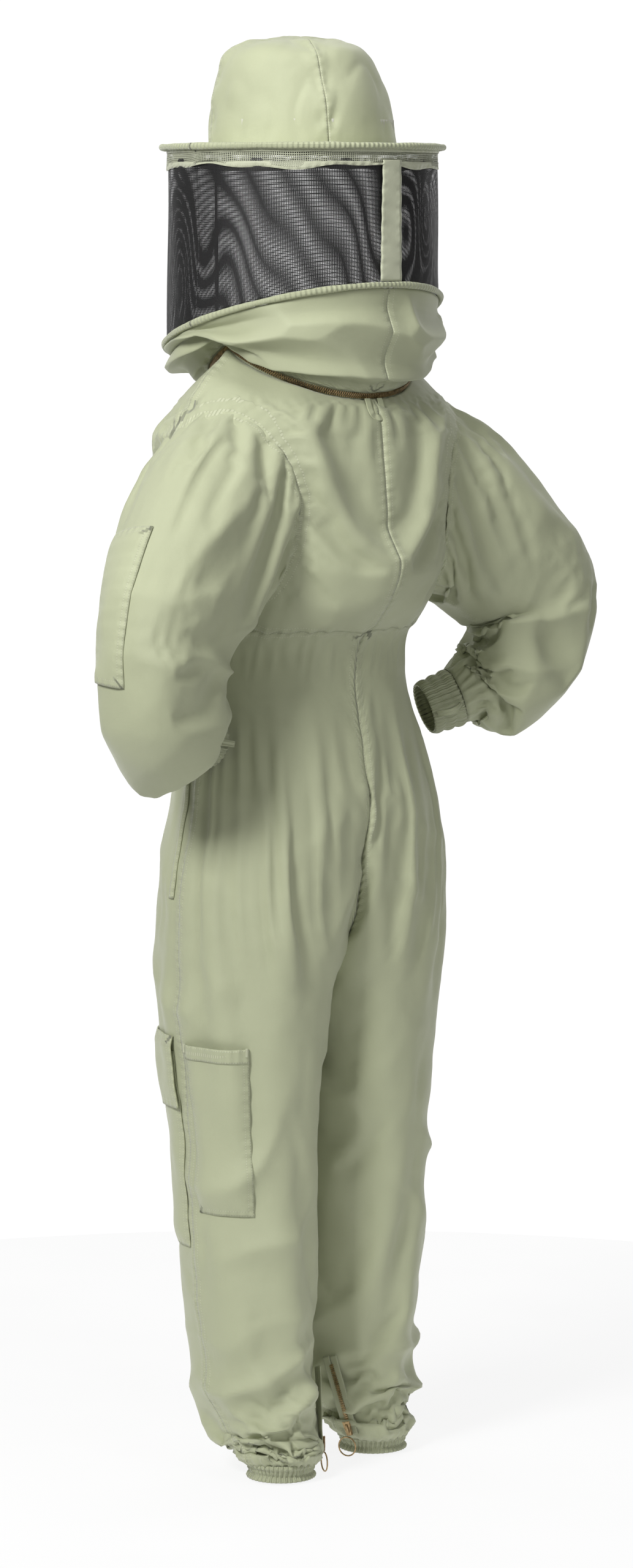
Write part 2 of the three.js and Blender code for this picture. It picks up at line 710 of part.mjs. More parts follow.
// hanging loop at the back of the neck
const loopShape = new THREE.Shape();
const loopHalf = HANG_LOOP.wide / 2;
loopShape.moveTo(-loopHalf, 0);
loopShape.lineTo(-loopHalf, -HANG_LOOP.drop + loopHalf);
loopShape.absarc(0, -HANG_LOOP.drop + loopHalf, loopHalf, Math.PI, 2 * Math.PI, false);
loopShape.lineTo(loopHalf, 0);
loopShape.lineTo(loopHalf - HANG_LOOP.strap, 0);
loopShape.lineTo(loopHalf - HANG_LOOP.strap, -HANG_LOOP.drop + loopHalf);
loopShape.absarc(
  0,
  -HANG_LOOP.drop + loopHalf,
  loopHalf - HANG_LOOP.strap,
  2 * Math.PI,
  Math.PI,
  true,
);
loopShape.lineTo(-loopHalf + HANG_LOOP.strap, 0);
loopShape.closePath();
const loopPlate = new THREE.ExtrudeGeometry(loopShape, {
  depth: HANG_LOOP.wall,
  bevelEnabled: false,
  curveSegments: 6,
});
const loopTop = neckPoint(-Math.PI / 2, PATCH_LIFT + 1, -TEETH_REACH);
const loopSlope = V(0, -0.42, 0.91).normalize();
const loopOut = V(0, 0.91, 0.42).normalize();
add("hang_loop", placed(loopPlate, loopTop.addScaledVector(loopOut, 2), loopSlope, loopOut), "cloth");

// ---- hood ----
const hood = new THREE.Group();
hood.position.set(0, HOOD_Y, 0);
group.add(hood);

// A ring turned round the hood's axis from a closed outline of [radius, height] points.
function ringOf(outline, sides) {
  const points = [];
  const faces = [];
  const n = outline.length;
  for (let i = 0; i < sides; i++) {
    const turn = (i / sides) * 2 * Math.PI;
    for (const [r, z] of outline) points.push(V(r * Math.cos(turn), r * Math.sin(turn), z));
    for (let k = 0; k < n; k++) {
      const next = ((i + 1) % sides) * n;
      const [a, b] = [i * n + k, i * n + ((k + 1) % n)];
      faces.push([a, b, next + ((k + 1) % n)], [a, next + ((k + 1) % n), next + k]);
    }
  }
  return bodyOf(points, faces);
}

// crown: a turned dome, slit into four gores
const domeLine = (out) => {
  const [r, h] = [CROWN.radius + out, CROWN.height + out];
  return [
    [r, 0],
    [r * 0.995, h * 0.3],
    [r * 0.955, h * 0.6],
    [r * 0.86, h * 0.82],
    [r * 0.66, h * 0.95],
    [r * 0.34, h * 0.995],
    [CROWN.eye, h],
  ].map(([x, y]) => [x, y + CROWN.z]);
};
const slitTools = [0, 90].map((turn) => {
  const slit = new THREE.BoxGeometry(CROWN.radius * 3, 2 * GAP, CROWN.height * 3);
  slit.translate(0, 0, CROWN.z);
  return solidOf(slit.rotateZ(rad(CROWN.turn + turn)));
});
const goreNames = ["left", "back", "right", "front"];
const dome = solidOf(ringOf([...domeLine(-CROWN.wall), ...domeLine(0).reverse()], RING_SIDES));
const gores = slitTools.reduce((left, tool) => left.subtract(tool), dome).decompose();
for (const gore of gores) {
  const geometry = geometryOf(gore);
  geometry.computeBoundingBox();
  const middle = geometry.boundingBox.getCenter(V(0, 0, 0));
  const turn = THREE.MathUtils.radToDeg(Math.atan2(middle.y, middle.x));
  const place = Math.round((turn - CROWN.turn + 45) / 90);
  add(`crown_gore_${goreNames[(place + 8) % 4]}`, geometry, "cloth", hood);
}

const flatRing = (inner, outer, low, high) => [
  [inner, low],
  [outer, low],
  [outer, high],
  [inner, high],
];

// A cloth roll round a wire, open along a slit that faces the way given in degrees.
function rollOutline(radius, height, facing) {
  const arc = (r, turn) => [
    radius + r * Math.cos(rad(facing + turn)),
    height + r * Math.sin(rad(facing + turn)),
  ];
  const turns = [35, 85, 133, 180, 227, 275, 325];
  return [
    ...turns.map((turn) => arc(EDGE_ROLL, turn)),
    ...turns.reverse().map((turn) => arc(EDGE_ROLL - ROLL_WALL, turn)),
  ];
}

const wireRing = (radius, height) => {
  const turns = [0, 72, 144, 216, 288];
  return turns.map((t) => [radius + WIRE * Math.cos(rad(t)), height + WIRE * Math.sin(rad(t))]);
};

const brimWireRadius = BRIM.radius - EDGE_ROLL;
const brimInner = CROWN.radius + GAP;
const brimOuter = brimWireRadius - EDGE_ROLL - GAP;
const brimLow = BRIM.z - BRIM.wall / 2;
add(
  "hat_brim",
  ringOf(flatRing(brimInner, brimOuter, brimLow, brimLow + BRIM.wall), RING_SIDES),
  "cloth",
  hood,
);
add("brim_wire", ringOf(wireRing(brimWireRadius, BRIM.z), RING_SIDES), "steel", hood);
add("brim_binding", ringOf(rollOutline(brimWireRadius, BRIM.z, 180), RING_SIDES), "cloth", hood);
const sweatRadius = CROWN.radius - CROWN.wall - PATCH_LIFT;
add(
  "sweatband",
  ringOf(flatRing(sweatRadius - 2, sweatRadius, CROWN.z + 2, CROWN.z + 34), RING_SIDES),
  "elastic",
  hood,
);
add(
  "veil_band",
  ringOf(flatRing(BAND.radius - BAND.wall, BAND.radius, BAND.low, brimLow - GAP), RING_SIDES),
  "mesh",
  hood,
);

// lower hoop, in its tilted plane
const hoopTilt = Math.atan(HOOP.rise);
const hoopGroup = new THREE.Group();
hoopGroup.position.set(0, 0, HOOP.z);
hoopGroup.rotation.x = hoopTilt;
hood.add(hoopGroup);
add("hoop_wire", ringOf(wireRing(HOOP.radius, 0), RING_SIDES), "steel", hoopGroup);
add("hoop_binding", ringOf(rollOutline(HOOP.radius, 0, 180), RING_SIDES), "cloth", hoopGroup);

// A point of the tilted hoop's plane, in the hood's frame.
const hoopPoint = (angle, radius, lift) =>
  V(
    radius * Math.cos(angle),
    radius * Math.sin(angle) * Math.cos(hoopTilt),
    HOOP.z + radius * Math.sin(angle) * Math.sin(hoopTilt) + lift,
  );

const netFoot = EDGE_ROLL + 2 * GAP;
const netWall = (out) => (u, v) => {
  const angle = u * 2 * Math.PI;
  const foot = hoopPoint(angle, HOOP.radius + out - EDGE_ROLL / 2, netFoot);
  const head = V(0, 0, BAND.low - GAP);
  head.x = (BAND.radius + out) * Math.cos(angle);
  head.y = (BAND.radius + out) * Math.sin(angle);
  return foot.lerp(head, v);
};
add("veil_net", wallOf(netWall(0), netWall(-NET_WALL), RING_SIDES, [0, 1], true), "net", hood);
const tapeWall = (out) => (u, v) => {
  const half = lerp(VEIL_TAPE.low, VEIL_TAPE.top, v) / 2;
  const middle = netWall(out)(0.25, v);
  return middle.add(V(lerp(-half, half, u), 0, 0));
};
add(
  "veil_back_tape",
  wallOf(
    tapeWall(PATCH_LIFT + VEIL_TAPE.wall),
    tapeWall(PATCH_LIFT),
    2,
    [0, 1],
  ),
  "tape",
  hood,
);

// collar: from the hoop out over a soft bulge and in to the zip
function collarHalf(side) {
  const surface = (out) => (u, v) => {
    const edge = SEAM_GAP / NECK.radius;
    const angle = lerp(-Math.PI / 2 + edge, Math.PI / 2 - edge, u);
    const foot = neckPoint(-angle, out, TAPE_REACH + 2 * GAP).add(V(0, -HOOD_Y, 0));
    const head = hoopPoint(angle, HOOP.radius - EDGE_ROLL / 2 + out, -EDGE_ROLL - 2 * GAP);
    const bow = head.clone().lerp(foot, 0.5);
    const way = V(head.x, head.y, 0).normalize();
    bow.z = foot.z + 4;
    bow.addScaledVector(way, HOOP.radius + COLLAR_BULGE - Math.hypot(bow.x, bow.y));
    const curve = new THREE.QuadraticBezierCurve3(head, bow, foot);
    return curve.getPoint(1 - v);
  };
  const rows = [0, 0.2, 0.4, 0.6, 0.8, 1];
  return sided(side, wallOf(surface(0), surface(-CLOTH), 16, rows));
}
for (const side of ["left", "right"]) add(`collar_${side}`, collarHalf(side), "cloth", hood);
const upperZip = neckZip(1).translate(0, -HOOD_Y, 0);
add("neck_zip_upper", upperZip, "brass", hood);

export default group;
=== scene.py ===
import json
import math

import bmesh
import bpy
import numpy as np
from bpy.props import FloatProperty, FloatVectorProperty, IntProperty, PointerProperty
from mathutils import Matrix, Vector
from mathutils.bvhtree import BVHTree

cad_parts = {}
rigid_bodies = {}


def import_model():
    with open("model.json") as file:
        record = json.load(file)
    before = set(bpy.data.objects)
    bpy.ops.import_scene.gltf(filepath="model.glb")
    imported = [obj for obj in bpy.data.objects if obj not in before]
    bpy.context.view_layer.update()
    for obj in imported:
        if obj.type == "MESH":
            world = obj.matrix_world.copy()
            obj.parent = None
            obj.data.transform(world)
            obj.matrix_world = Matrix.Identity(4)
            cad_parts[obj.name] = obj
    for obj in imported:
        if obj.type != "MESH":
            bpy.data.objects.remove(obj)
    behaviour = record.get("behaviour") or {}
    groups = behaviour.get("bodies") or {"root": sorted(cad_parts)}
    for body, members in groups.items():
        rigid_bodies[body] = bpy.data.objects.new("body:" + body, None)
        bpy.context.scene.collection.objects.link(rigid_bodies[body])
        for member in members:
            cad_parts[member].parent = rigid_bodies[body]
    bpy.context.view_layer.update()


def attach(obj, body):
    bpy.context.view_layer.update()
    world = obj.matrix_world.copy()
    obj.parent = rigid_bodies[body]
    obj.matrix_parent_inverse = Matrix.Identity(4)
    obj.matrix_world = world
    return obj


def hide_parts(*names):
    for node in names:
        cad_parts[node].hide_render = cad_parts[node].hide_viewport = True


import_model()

bl_info = {
    "name": "Beekeeping Suit",
    "version": (1, 0, 0),
    "blender": (4, 5, 0),
    "location": "View3D > Sidebar > Suit",
    "description": "Sews a beekeeping suit round its packed frame",
    "category": "Add Mesh",
}

MM = 0.001
SIDES = {"left": 1, "right": -1}

# ---- pattern: the same surfaces as the frame's, in millimetres ----
# height, centre x and y, half widths x and y of the left leg and half body
BODY_ROWS = np.array([
    (12, 90, 54, 48, 48),
    (144, 89, 12, 74, 78),
    (268, 89, 4, 82, 88),
    (436, 90, -2, 86, 93),
    (582, 95, -5, 93.5, 112),
    (618, 96.5, -3, 95.5, 118),
    (665, 85, 1, 107, 128),
    (728, 60, 7, 130, 134),
    (800, 35, 13, 145, 129),
    (850, 18, 8.5, 150, 121.4),
    (905, 6, -1.5, 142, 110.6),
    (953, 0, -9, 139, 103),
    (1013, 0, 1, 142, 113),
    (1045, 0, 22, 150, 134),
    (1087, 0, 31, 160, 143),
    (1143, 0, 30, 176, 142),
    (1199, 0, 27, 200, 139),
    (1240, 0, 23, 212, 135),
], float)
WAIST_Z = 1013
SHOULDER_Z = 1240
HEM_Z = 12
STRIDE = 21
STRIDE_TOP_Z = 600
NECK_Y = 23
NECK_Z = 1344
NECK_RADIUS = 125
NECK_DROP = 58
NECK_TILT = math.asin(NECK_DROP / NECK_RADIUS)
TAPE_REACH = 11
TAPE_SHOWN = 5.0  # tape left in sight between the teeth and the cloth's folded edge

# middle line of each sleeve, then the section's half widths
SLEEVES = {
    "left": np.array([
        (106, 48, 1196, 98, 84),
        (175, 62, 1146, 108, 92),
        (250, 82, 1070, 84, 84),
        (284, 92, 995, 74, 76),
        (274, 84, 930, 72, 72),
        (236, 62, 896, 60, 56),
        (205, 48, 888, 36, 34),
    ], float),
    "right": np.array([
        (106, 48, 1196, 98, 84),
        (175, 62, 1150, 108, 92),
        (252, 80, 1092, 84, 84),
        (298, 92, 1030, 74, 76),
        (284, 86, 966, 70, 70),
        (240, 64, 926, 58, 56),
        (207, 50, 912, 36, 34),
    ], float),
}
CUFF_LENGTH = 42

HOOD_Y = 8
CROWN_Z = 1575
CROWN_RADIUS = 113
CROWN_HEIGHT = 133
CROWN_TURN = 66
BRIM_Z = 1577
BRIM_RADIUS = 171.5
EDGE_ROLL = 4.6
BAND_RADIUS = 160
BAND_LOW = 1557
HOOP_Z = 1371
HOOP_RADIUS = 167
HOOP_TILT = math.atan(0.28)



# ---- settings shown in the sidebar ----
class SuitColours(bpy.types.PropertyGroup):
    cloth: FloatVectorProperty(
        name="Cloth", description="Twill of the suit", subtype="COLOR", default=(0.415, 0.44, 0.285))
    thread: FloatVectorProperty(
        name="Thread", description="Topstitching", subtype="COLOR", default=(0.52, 0.54, 0.38))
    net: FloatVectorProperty(
        name="Net", description="Veil net", subtype="COLOR", default=(0.012, 0.012, 0.012))
    tape: FloatVectorProperty(
        name="Tape", description="Tape and strip on the veil", subtype="COLOR", default=(0.50, 0.52, 0.38))
    brass: FloatVectorProperty(
        name="Brass", description="Zips and rings", subtype="COLOR", default=(0.42, 0.30, 0.16))


class SuitSizes(bpy.types.PropertyGroup):
    cloth_wall: FloatProperty(
        name="Cloth thickness", description="Thickness of one layer of twill", default=0.0011, unit="LENGTH")
    stitch_step: FloatProperty(
        name="Stitch length", description="From one stitch to the next", default=0.0032, unit="LENGTH")
    slack: FloatProperty(
        name="Slack", description="How much larger the cloth is than its shape", default=0.05, min=0, max=0.2)
    frames: IntProperty(
        name="Frames", description="Steps of the cloth simulation", default=26, min=2, max=80)


def colours():
    return bpy.context.scene.suit_colours


def sizes():
    return bpy.context.scene.suit_sizes


# ---- small tools ----
def vec(*xyz):
    return np.array(xyz, float)


def unit(v):
    return v / np.linalg.norm(v, axis=-1, keepdims=True)


def smooth_rows(table, step=2.0, reach=16.0):
    """The table's columns at even steps of its first column, with their corners rounded."""
    z = np.arange(table[0, 0], table[-1, 0] + step / 2, step)
    n = int(reach / step)
    kernel = np.hanning(2 * n + 3)[1:-1]
    kernel /= kernel.sum()
    columns = [z]
    for k in range(1, table.shape[1]):
        raw = np.interp(z, table[:, 0], table[:, k])
        start = 2 * raw[0] - raw[1:n + 1][::-1]
        end = 2 * raw[-1] - raw[-n - 1:-1][::-1]
        columns.append(np.convolve(np.concatenate([start, raw, end]), kernel, "valid"))
    return np.array(columns).T


SMOOTH_BODY = smooth_rows(BODY_ROWS)


def body_row(z):
    return [np.interp(z, SMOOTH_BODY[:, 0], SMOOTH_BODY[:, k]) for k in range(1, 5)]


def stride_at(z, side):
    return SIDES[side] * STRIDE * np.clip(1 - np.maximum(z, HEM_Z) / STRIDE_TOP_Z, 0, 1)


def body_point(angle, z, out, side):
    """A point of one half of the body; angle from the outer side, plus to the front."""
    cx, cy, ax, ay = body_row(z)
    x = cx + (ax + out) * np.cos(angle)
    y = cy - (ay + out) * np.sin(angle) + stride_at(z, side)
    return np.stack(np.broadcast_arrays(x * SIDES[side], y, z), -1).astype(float)


def middle_angle(z):
    cx, _, ax, _ = body_row(z)
    return np.arccos(np.clip(-cx / ax, -1, 1))


def neck_frame(angle):
    """Centre, way out and way up of the neck ring at an angle from the wearer's left, plus to the back."""
    down = np.abs(np.sin(angle))
    way = np.sign(np.sin(angle))
    radial = np.stack([np.cos(angle), way * down * math.cos(NECK_TILT), -down * math.sin(NECK_TILT)], -1)
    ease = np.minimum(1, down / math.sin(math.radians(15)))
    up = unit(np.stack([0 * angle, way * ease * math.sin(NECK_TILT), math.cos(NECK_TILT) + 0 * angle], -1))
    return vec(0, NECK_Y, NECK_Z), radial, up


def neck_point(angle, out, along):
    centre, radial, up = neck_frame(angle)
    out = np.asarray(out, float)[..., None]
    along = np.asarray(along, float)[..., None]
    return centre + radial * (NECK_RADIUS + out) + up * along


def hoop_point(angle, radius, lift=0):
    """A point of the lower hoop's plane; angle from the wearer's left, plus to the back."""
    x = radius * np.cos(angle)
    y = HOOD_Y + radius * np.sin(angle) * math.cos(HOOP_TILT)
    z = HOOP_Z + radius * np.sin(angle) * math.sin(HOOP_TILT) + lift
    return np.stack(np.broadcast_arrays(x, y, z), -1).astype(float)


def mesh_object(name, points, faces, smooth=True):
    """An object from points in millimetres."""
    mesh = bpy.data.meshes.new(name)
    mesh.from_pydata((np.asarray(points) * MM).tolist(), [], [list(map(int, f)) for f in faces])
    mesh.validate()
    mesh.polygons.foreach_set("use_smooth", [smooth] * len(mesh.polygons))
    made = bpy.data.objects.new(name, mesh)
    bpy.context.scene.collection.objects.link(made)
    return made


def grid_faces(rows, columns, round_u=False):
    """Quads of a grid of points stored row by row."""
    faces = []
    span = columns if round_u else columns - 1
    for r in range(rows - 1):
        for c in range(span):
            d = (c + 1) % columns
            faces.append((r * columns + c, r * columns + d, (r + 1) * columns + d, (r + 1) * columns + c))
    return faces


def face_out(made, centre=None):
    """Turns a piece's faces so that they point away from its middle line or a given point."""
    mesh = made.data
    bm = bmesh.new()
    bm.from_mesh(mesh)
    middle = Vector(centre) if centre is not None else None
    score = 0.0
    for face in bm.faces:
        at = face.calc_center_median()
        base = middle if middle is not None else Vector((0, 0.02, at.z))
        score += face.normal.dot((at - base).normalized()) * face.calc_area()
    if score < 0:
        bmesh.ops.reverse_faces(bm, faces=bm.faces)
    bm.to_mesh(mesh)
    bm.free()


def apply_modifiers(made):
    """Leaves the piece as a plain mesh, as its modifiers make it."""
    graph = bpy.context.evaluated_depsgraph_get()
    done = bpy.data.meshes.new_from_object(made.evaluated_get(graph))
    made.modifiers.clear()
    old = made.data
    made.data = done
    bpy.data.meshes.remove(old)
    return made


def finish_piece(made, material, body, nodes=()):
    made.data.materials.clear()
    made.data.materials.append(material)
    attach(made, body)
    if nodes:
        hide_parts(*nodes)
    return made


# ---- materials ----
class Nodes:
    """A short way to write a material's nodes."""

    def __init__(self, name):
        self.material = bpy.data.materials.new(name)
        self.material.use_nodes = True
        self.tree = self.material.node_tree
        self.shader = self.tree.nodes["Principled BSDF"]
        self.output = self.tree.nodes["Material Output"]

    def new(self, kind, **settings):
        node = self.tree.nodes.new("ShaderNode" + kind)
        for key, value in settings.items():
            if hasattr(node, key):
                setattr(node, key, value)
            else:
                node.inputs[key].default_value = value
        return node

    def link(self, source, target):
        self.tree.links.new(source, target)

    def math(self, operation, a, b=None, c=None):
        node = self.new("Math", operation=operation)
        for socket, value in zip(node.inputs, (a, b, c)):
            if isinstance(value, (int, float)):
                socket.default_value = value
            elif value is not None:
                self.link(value, socket)
        return node.outputs[0]

    def noise(self, scale, detail=2.0, vector=None, roughness=0.5):
        node = self.new("TexNoise", Scale=scale, Detail=detail, Roughness=roughness)
        if vector is not None:
            self.link(vector, node.inputs["Vector"])
        return node.outputs["Fac"]

    def mix(self, factor, a, b):
        node = self.new("Mix", data_type="RGBA")
        for socket, value in ((node.inputs[0], factor), (node.inputs[6], a), (node.inputs[7], b)):
            if isinstance(value, (int, float)):
                socket.default_value = value
            elif isinstance(value, bpy.types.NodeSocket):
                self.link(value, socket)
            else:
                socket.default_value = (*value[:3], 1)
        return node.outputs[2]

    def bump(self, height, strength, distance, normal=None):
        node = self.new("Bump", Strength=strength, Distance=distance)
        self.link(height, node.inputs["Height"])
        if normal is not None:
            self.link(normal, node.inputs["Normal"])
        return node.outputs[0]


def place_vector(n):
    return n.new("TexCoord").outputs["Object"]


def shade(colour, k):
    return tuple(min(1.0, c * k) for c in colour)


def cloth_material(name, colour, rows=(), weave=0.00085, wear=0.5, rib=0.0, pucker=1.0):
    """Twill with soft mottling and rows of topstitching at the given distances from each seam, each row
    darkened with painted shade as if sunk in its groove.

    The seam distance and the place along the seam come from the mesh as attributes, in metres."""
    n = Nodes(name)
    place = place_vector(n)
    uv = n.new("UVMap", uv_map="Cloth").outputs[0]
    split = n.new("SeparateXYZ")
    n.link(uv, split.inputs[0])
    u, v = split.outputs[0], split.outputs[1]
    # diagonal ribs of the twill, crossed by a finer thread
    rib_a = n.math("SINE", n.math("MULTIPLY", n.math("ADD", u, v), 2 * math.pi / weave))
    rib_b = n.math("SINE", n.math("MULTIPLY", n.math("SUBTRACT", u, v), 2 * math.pi / (weave * 0.6)))
    weave_height = n.math("MULTIPLY_ADD", rib_b, 0.35, rib_a)
    mottle = n.noise(9, 4, place)
    cloud = n.noise(2.2, 2, place)
    fleck = n.noise(900, 2, place)
    light = n.math("MULTIPLY_ADD", mottle, 0.16, n.math("MULTIPLY_ADD", cloud, 0.14, -0.15))
    light = n.math("ADD", light, n.math("MULTIPLY_ADD", fleck, 0.10, -0.05))
    light = n.math("MULTIPLY_ADD", weave_height, 0.018, light)
    base = n.mix(n.math("ADD", light, 0.5), shade(colour, 0.72), shade(colour, 1.28))
    height = n.math("MULTIPLY", weave_height, 0.00004)
    height = n.math("ADD", height, n.math("MULTIPLY", n.noise(60, 5, place, 0.6), 0.0007))
    if rows:
        seam = n.new("Attribute", attribute_name="seam").outputs["Fac"]
        along = n.new("Attribute", attribute_name="along").outputs["Fac"]
        step = sizes().stitch_step
        dash = n.math("SINE", n.math("MULTIPLY", along, 2 * math.pi / step))
        dash = n.math("GREATER_THAN", dash, -0.35)
        threads = None
        for row in rows:
            line = n.math("COMPARE", seam, row, 0.00055)
            threads = line if threads is None else n.math("MAXIMUM", threads, line)
        stitch = n.math("MULTIPLY", threads, dash)
        # painted shade: the stitch rows are darkened as though shaded in the groove that the thread pulls into
        # the cloth
        base = n.mix(n.math("MULTIPLY", threads, 0.22), base, shade(colour, 0.6))
        base = n.mix(n.math("MULTIPLY", stitch, 0.85), base, colours().thread)
        # the folded edge is worn paler, and puckers along its stitches
        edge = n.math("SUBTRACT", 1, n.math("DIVIDE", seam, 0.0016))
        edge = n.math("MULTIPLY", n.math("MAXIMUM", edge, 0), wear * 0.5)
        base = n.mix(edge, base, shade(colour, 1.35))
        near = n.math("MAXIMUM", n.math("SUBTRACT", 1, n.math("DIVIDE", seam, rows[-1] + 0.006)), 0)
        wave = n.math("SINE", n.math("MULTIPLY", along, 2 * math.pi / 0.011))
        wobble = n.math("MULTIPLY", n.noise(55, 2, place), wave)
        height = n.math("ADD", height, n.math("MULTIPLY", n.math("MULTIPLY", near, wobble), 0.0011 * pucker))
        height = n.math("SUBTRACT", height, n.math("MULTIPLY", threads, 0.0006))
        height = n.math("ADD", height, n.math("MULTIPLY", stitch, 0.0007))
    if rib:
        band = n.math("SINE", n.math("MULTIPLY", u, 2 * math.pi / rib))
        height = n.math("ADD", height, n.math("MULTIPLY", band, 0.0006))
    n.link(base, n.shader.inputs["Base Color"])
    rough = n.math("MULTIPLY_ADD", mottle, 0.20, 0.46)
    n.link(rough, n.shader.inputs["Roughness"])
    n.link(n.bump(height, 0.9, 1.0), n.shader.inputs["Normal"])
    n.shader.inputs["Sheen Weight"].default_value = 0.22
    n.shader.inputs["Sheen Roughness"].default_value = 0.45
    n.shader.inputs["Specular IOR Level"].default_value = 0.42
    return n.material


def net_material(name, colour, step, wire, solid=0.0):
    """Open mesh: threads both ways with clear holes between them."""
    n = Nodes(name)
    uv = n.new("UVMap", uv_map="Cloth").outputs[0]
    split = n.new("SeparateXYZ")
    n.link(uv, split.inputs[0])
    threads = None
    for axis in (0, 1):
        wave = n.math("PINGPONG", split.outputs[axis], step / 2)
        line = n.math("LESS_THAN", wave, wire / 2)
        threads = line if threads is None else n.math("MAXIMUM", threads, line)
    if solid:
        threads = n.math("MAXIMUM", threads, solid)
    place = place_vector(n)
    base = n.mix(n.noise(40, 3, place), shade(colour, 0.7), shade(colour, 1.4))
    n.link(base, n.shader.inputs["Base Color"])
    n.link(n.math("MULTIPLY_ADD", n.noise(70, 2, place), 0.2, 0.5), n.shader.inputs["Roughness"])
    n.link(threads, n.shader.inputs["Alpha"])
    n.link(n.bump(threads, 0.4, 0.0003), n.shader.inputs["Normal"])
    return n.material


def metal_material(name, colour, rough=0.34):
    """Aged metal: duller in its hollows, scuffed on its edges."""
    n = Nodes(name)
    place = place_vector(n)
    stain = n.noise(260, 4, place, 0.6)
    scratch = n.noise(1800, 2, place)
    ramp = n.new("ValToRGB")
    ramp.color_ramp.elements[0].position = 0.3
    ramp.color_ramp.elements[0].color = (*shade(colour, 0.5), 1)
    ramp.color_ramp.elements[1].position = 0.62
    ramp.color_ramp.elements[1].color = (*shade(colour, 1.25), 1)
    n.link(stain, ramp.inputs[0])
    n.link(ramp.outputs[0], n.shader.inputs["Base Color"])
    n.link(n.math("MULTIPLY_ADD", stain, 0.3, rough - 0.12), n.shader.inputs["Roughness"])
    n.link(n.bump(n.math("ADD", stain, scratch), 0.25, 0.0002), n.shader.inputs["Normal"])
    n.shader.inputs["Metallic"].default_value = 1.0
    return n.material


MATERIALS = {}
BRIM_ROWS = (0.0014, 0.0062, 0.0110, 0.0158, 0.0206, 0.0250)  # the brim's stitching, from its edge inwards


def material(key):
    """Each finish is made once, when a piece first asks for it."""
    if key not in MATERIALS:
        cloth = colours().cloth
        double = (0.0016, 0.0078)
        makers = {
            "cloth": lambda: cloth_material("suit_twill", cloth, double),
            "pocket": lambda: cloth_material("pocket_twill", shade(cloth, 1.02), (0.0018, 0.0075)),
            "hat": lambda: cloth_material("hat_twill", shade(cloth, 1.03), (0.0014,), wear=0.7),
            "roll": lambda: cloth_material("edge_roll_twill", shade(cloth, 0.98), (), rib=0.006),
            "brim": lambda: cloth_material("brim_twill", shade(cloth, 1.03), BRIM_ROWS, wear=0.7, pucker=0.5),
            "thread": lambda: cloth_material("tack_thread", shade(colours().thread, 0.9), ()),
            "net_seam": lambda: cloth_material("net_binding", (0.016, 0.016, 0.016), ()),
            "elastic": lambda: cloth_material("gathered_elastic", shade(cloth, 0.95), (), rib=0.0042),
            "lining": lambda: cloth_material("pocket_lining", shade(cloth, 1.2), ()),
            "sweat": lambda: cloth_material("sweatband_cloth", (0.5, 0.5, 0.42), ()),
            "tape": lambda: cloth_material("veil_tape", colours().tape, (0.0022,), weave=0.0014),
            "zip_tape": lambda: cloth_material("zip_tape", shade(cloth, 0.8), (), weave=0.0012),
            "net": lambda: net_material("veil_net", colours().net, 0.0021, 0.00088),
            "mesh": lambda: net_material("pale_mesh", shade(colours().tape, 0.7), 0.0026, 0.0010),
            "brass": lambda: metal_material("aged_brass", colours().brass),
            "steel": lambda: metal_material("drawn_steel", (0.6, 0.61, 0.62), 0.3),
        }
        MATERIALS[key] = makers[key]()
    return MATERIALS[key]


# ---- the suit's cloth as grids ----
HALF_COLUMNS = 61
SLEEVE_COLUMNS = 64
SLEEVE_ROWS = 64
NECK_ROWS = 13
LEG_Z = np.linspace(HEM_Z, WAIST_Z, 126)
BODICE_Z = np.linspace(WAIST_Z, SHOULDER_Z, 29)[1:]
BODY_Z = np.concatenate([LEG_Z, BODICE_Z])
WAIST_ROW = len(LEG_Z) - 1
CROTCH_ROW = int(np.argmax(middle_angle(BODY_Z) < math.pi - 1e-6))


def half_body(side, out=0.0, columns=HALF_COLUMNS, z_rows=BODY_Z, neck_rows=NECK_ROWS):
    """Grid of one half of the body: rows up, columns from the middle back round the side to the front."""
    u = np.linspace(-1, 1, columns)
    middle = middle_angle(z_rows)[:, None]
    points = body_point(middle * u[None, :], z_rows[:, None], out, side)
    top = points[-1]
    angle = u * math.pi / 2
    edge = neck_point(-angle, out + 1.3, -TAPE_SHOWN)
    edge[:, 0] *= SIDES[side]
    rows = []
    for t in np.linspace(0, 1, neck_rows)[1:]:
        crown = 7 * math.sin(math.pi * t)
        way = unit(vec(1, 1, 0) * (top - vec(0, NECK_Y, 0)) + vec(0, 0, 90))
        rows.append(top * (1 - t) + edge * t + way * crown)
    return np.concatenate([points, np.array(rows)])


def smooth_path(points, count):
    """A Catmull-Rom line through rows of numbers, sampled evenly along its length."""
    n = len(points)
    padded = np.vstack([2 * points[0] - points[1], points, 2 * points[-1] - points[-2]])
    t = np.linspace(0, n - 1, 400)
    k = np.minimum(t.astype(int), n - 2)
    f = (t - k)[:, None]
    a, b, c, d = (padded[k + i] for i in range(4))
    line = 0.5 * (2 * b + (c - a) * f + (2 * a - 5 * b + 4 * c - d) * f**2 + (3 * b - a - 3 * c + d) * f**3)
    length = np.concatenate([[0], np.cumsum(np.linalg.norm(np.diff(line[:, :3], axis=0), axis=1))])
    even = np.linspace(0, length[-1], count)
    return np.stack([np.interp(even, length, line[:, i]) for i in range(points.shape[1])], -1), length[-1]


def sleeve_frames(side, count=SLEEVE_ROWS):
    path, length = smooth_path(SLEEVES[side], count)
    at = path[:, :3]
    along = unit(np.gradient(at, axis=0))
    deep = unit(vec(0, 1, 0) - along * along[:, 1:2])
    tall = np.cross(along, deep)
    return at, along, tall, deep, path[:, 3], path[:, 4], length


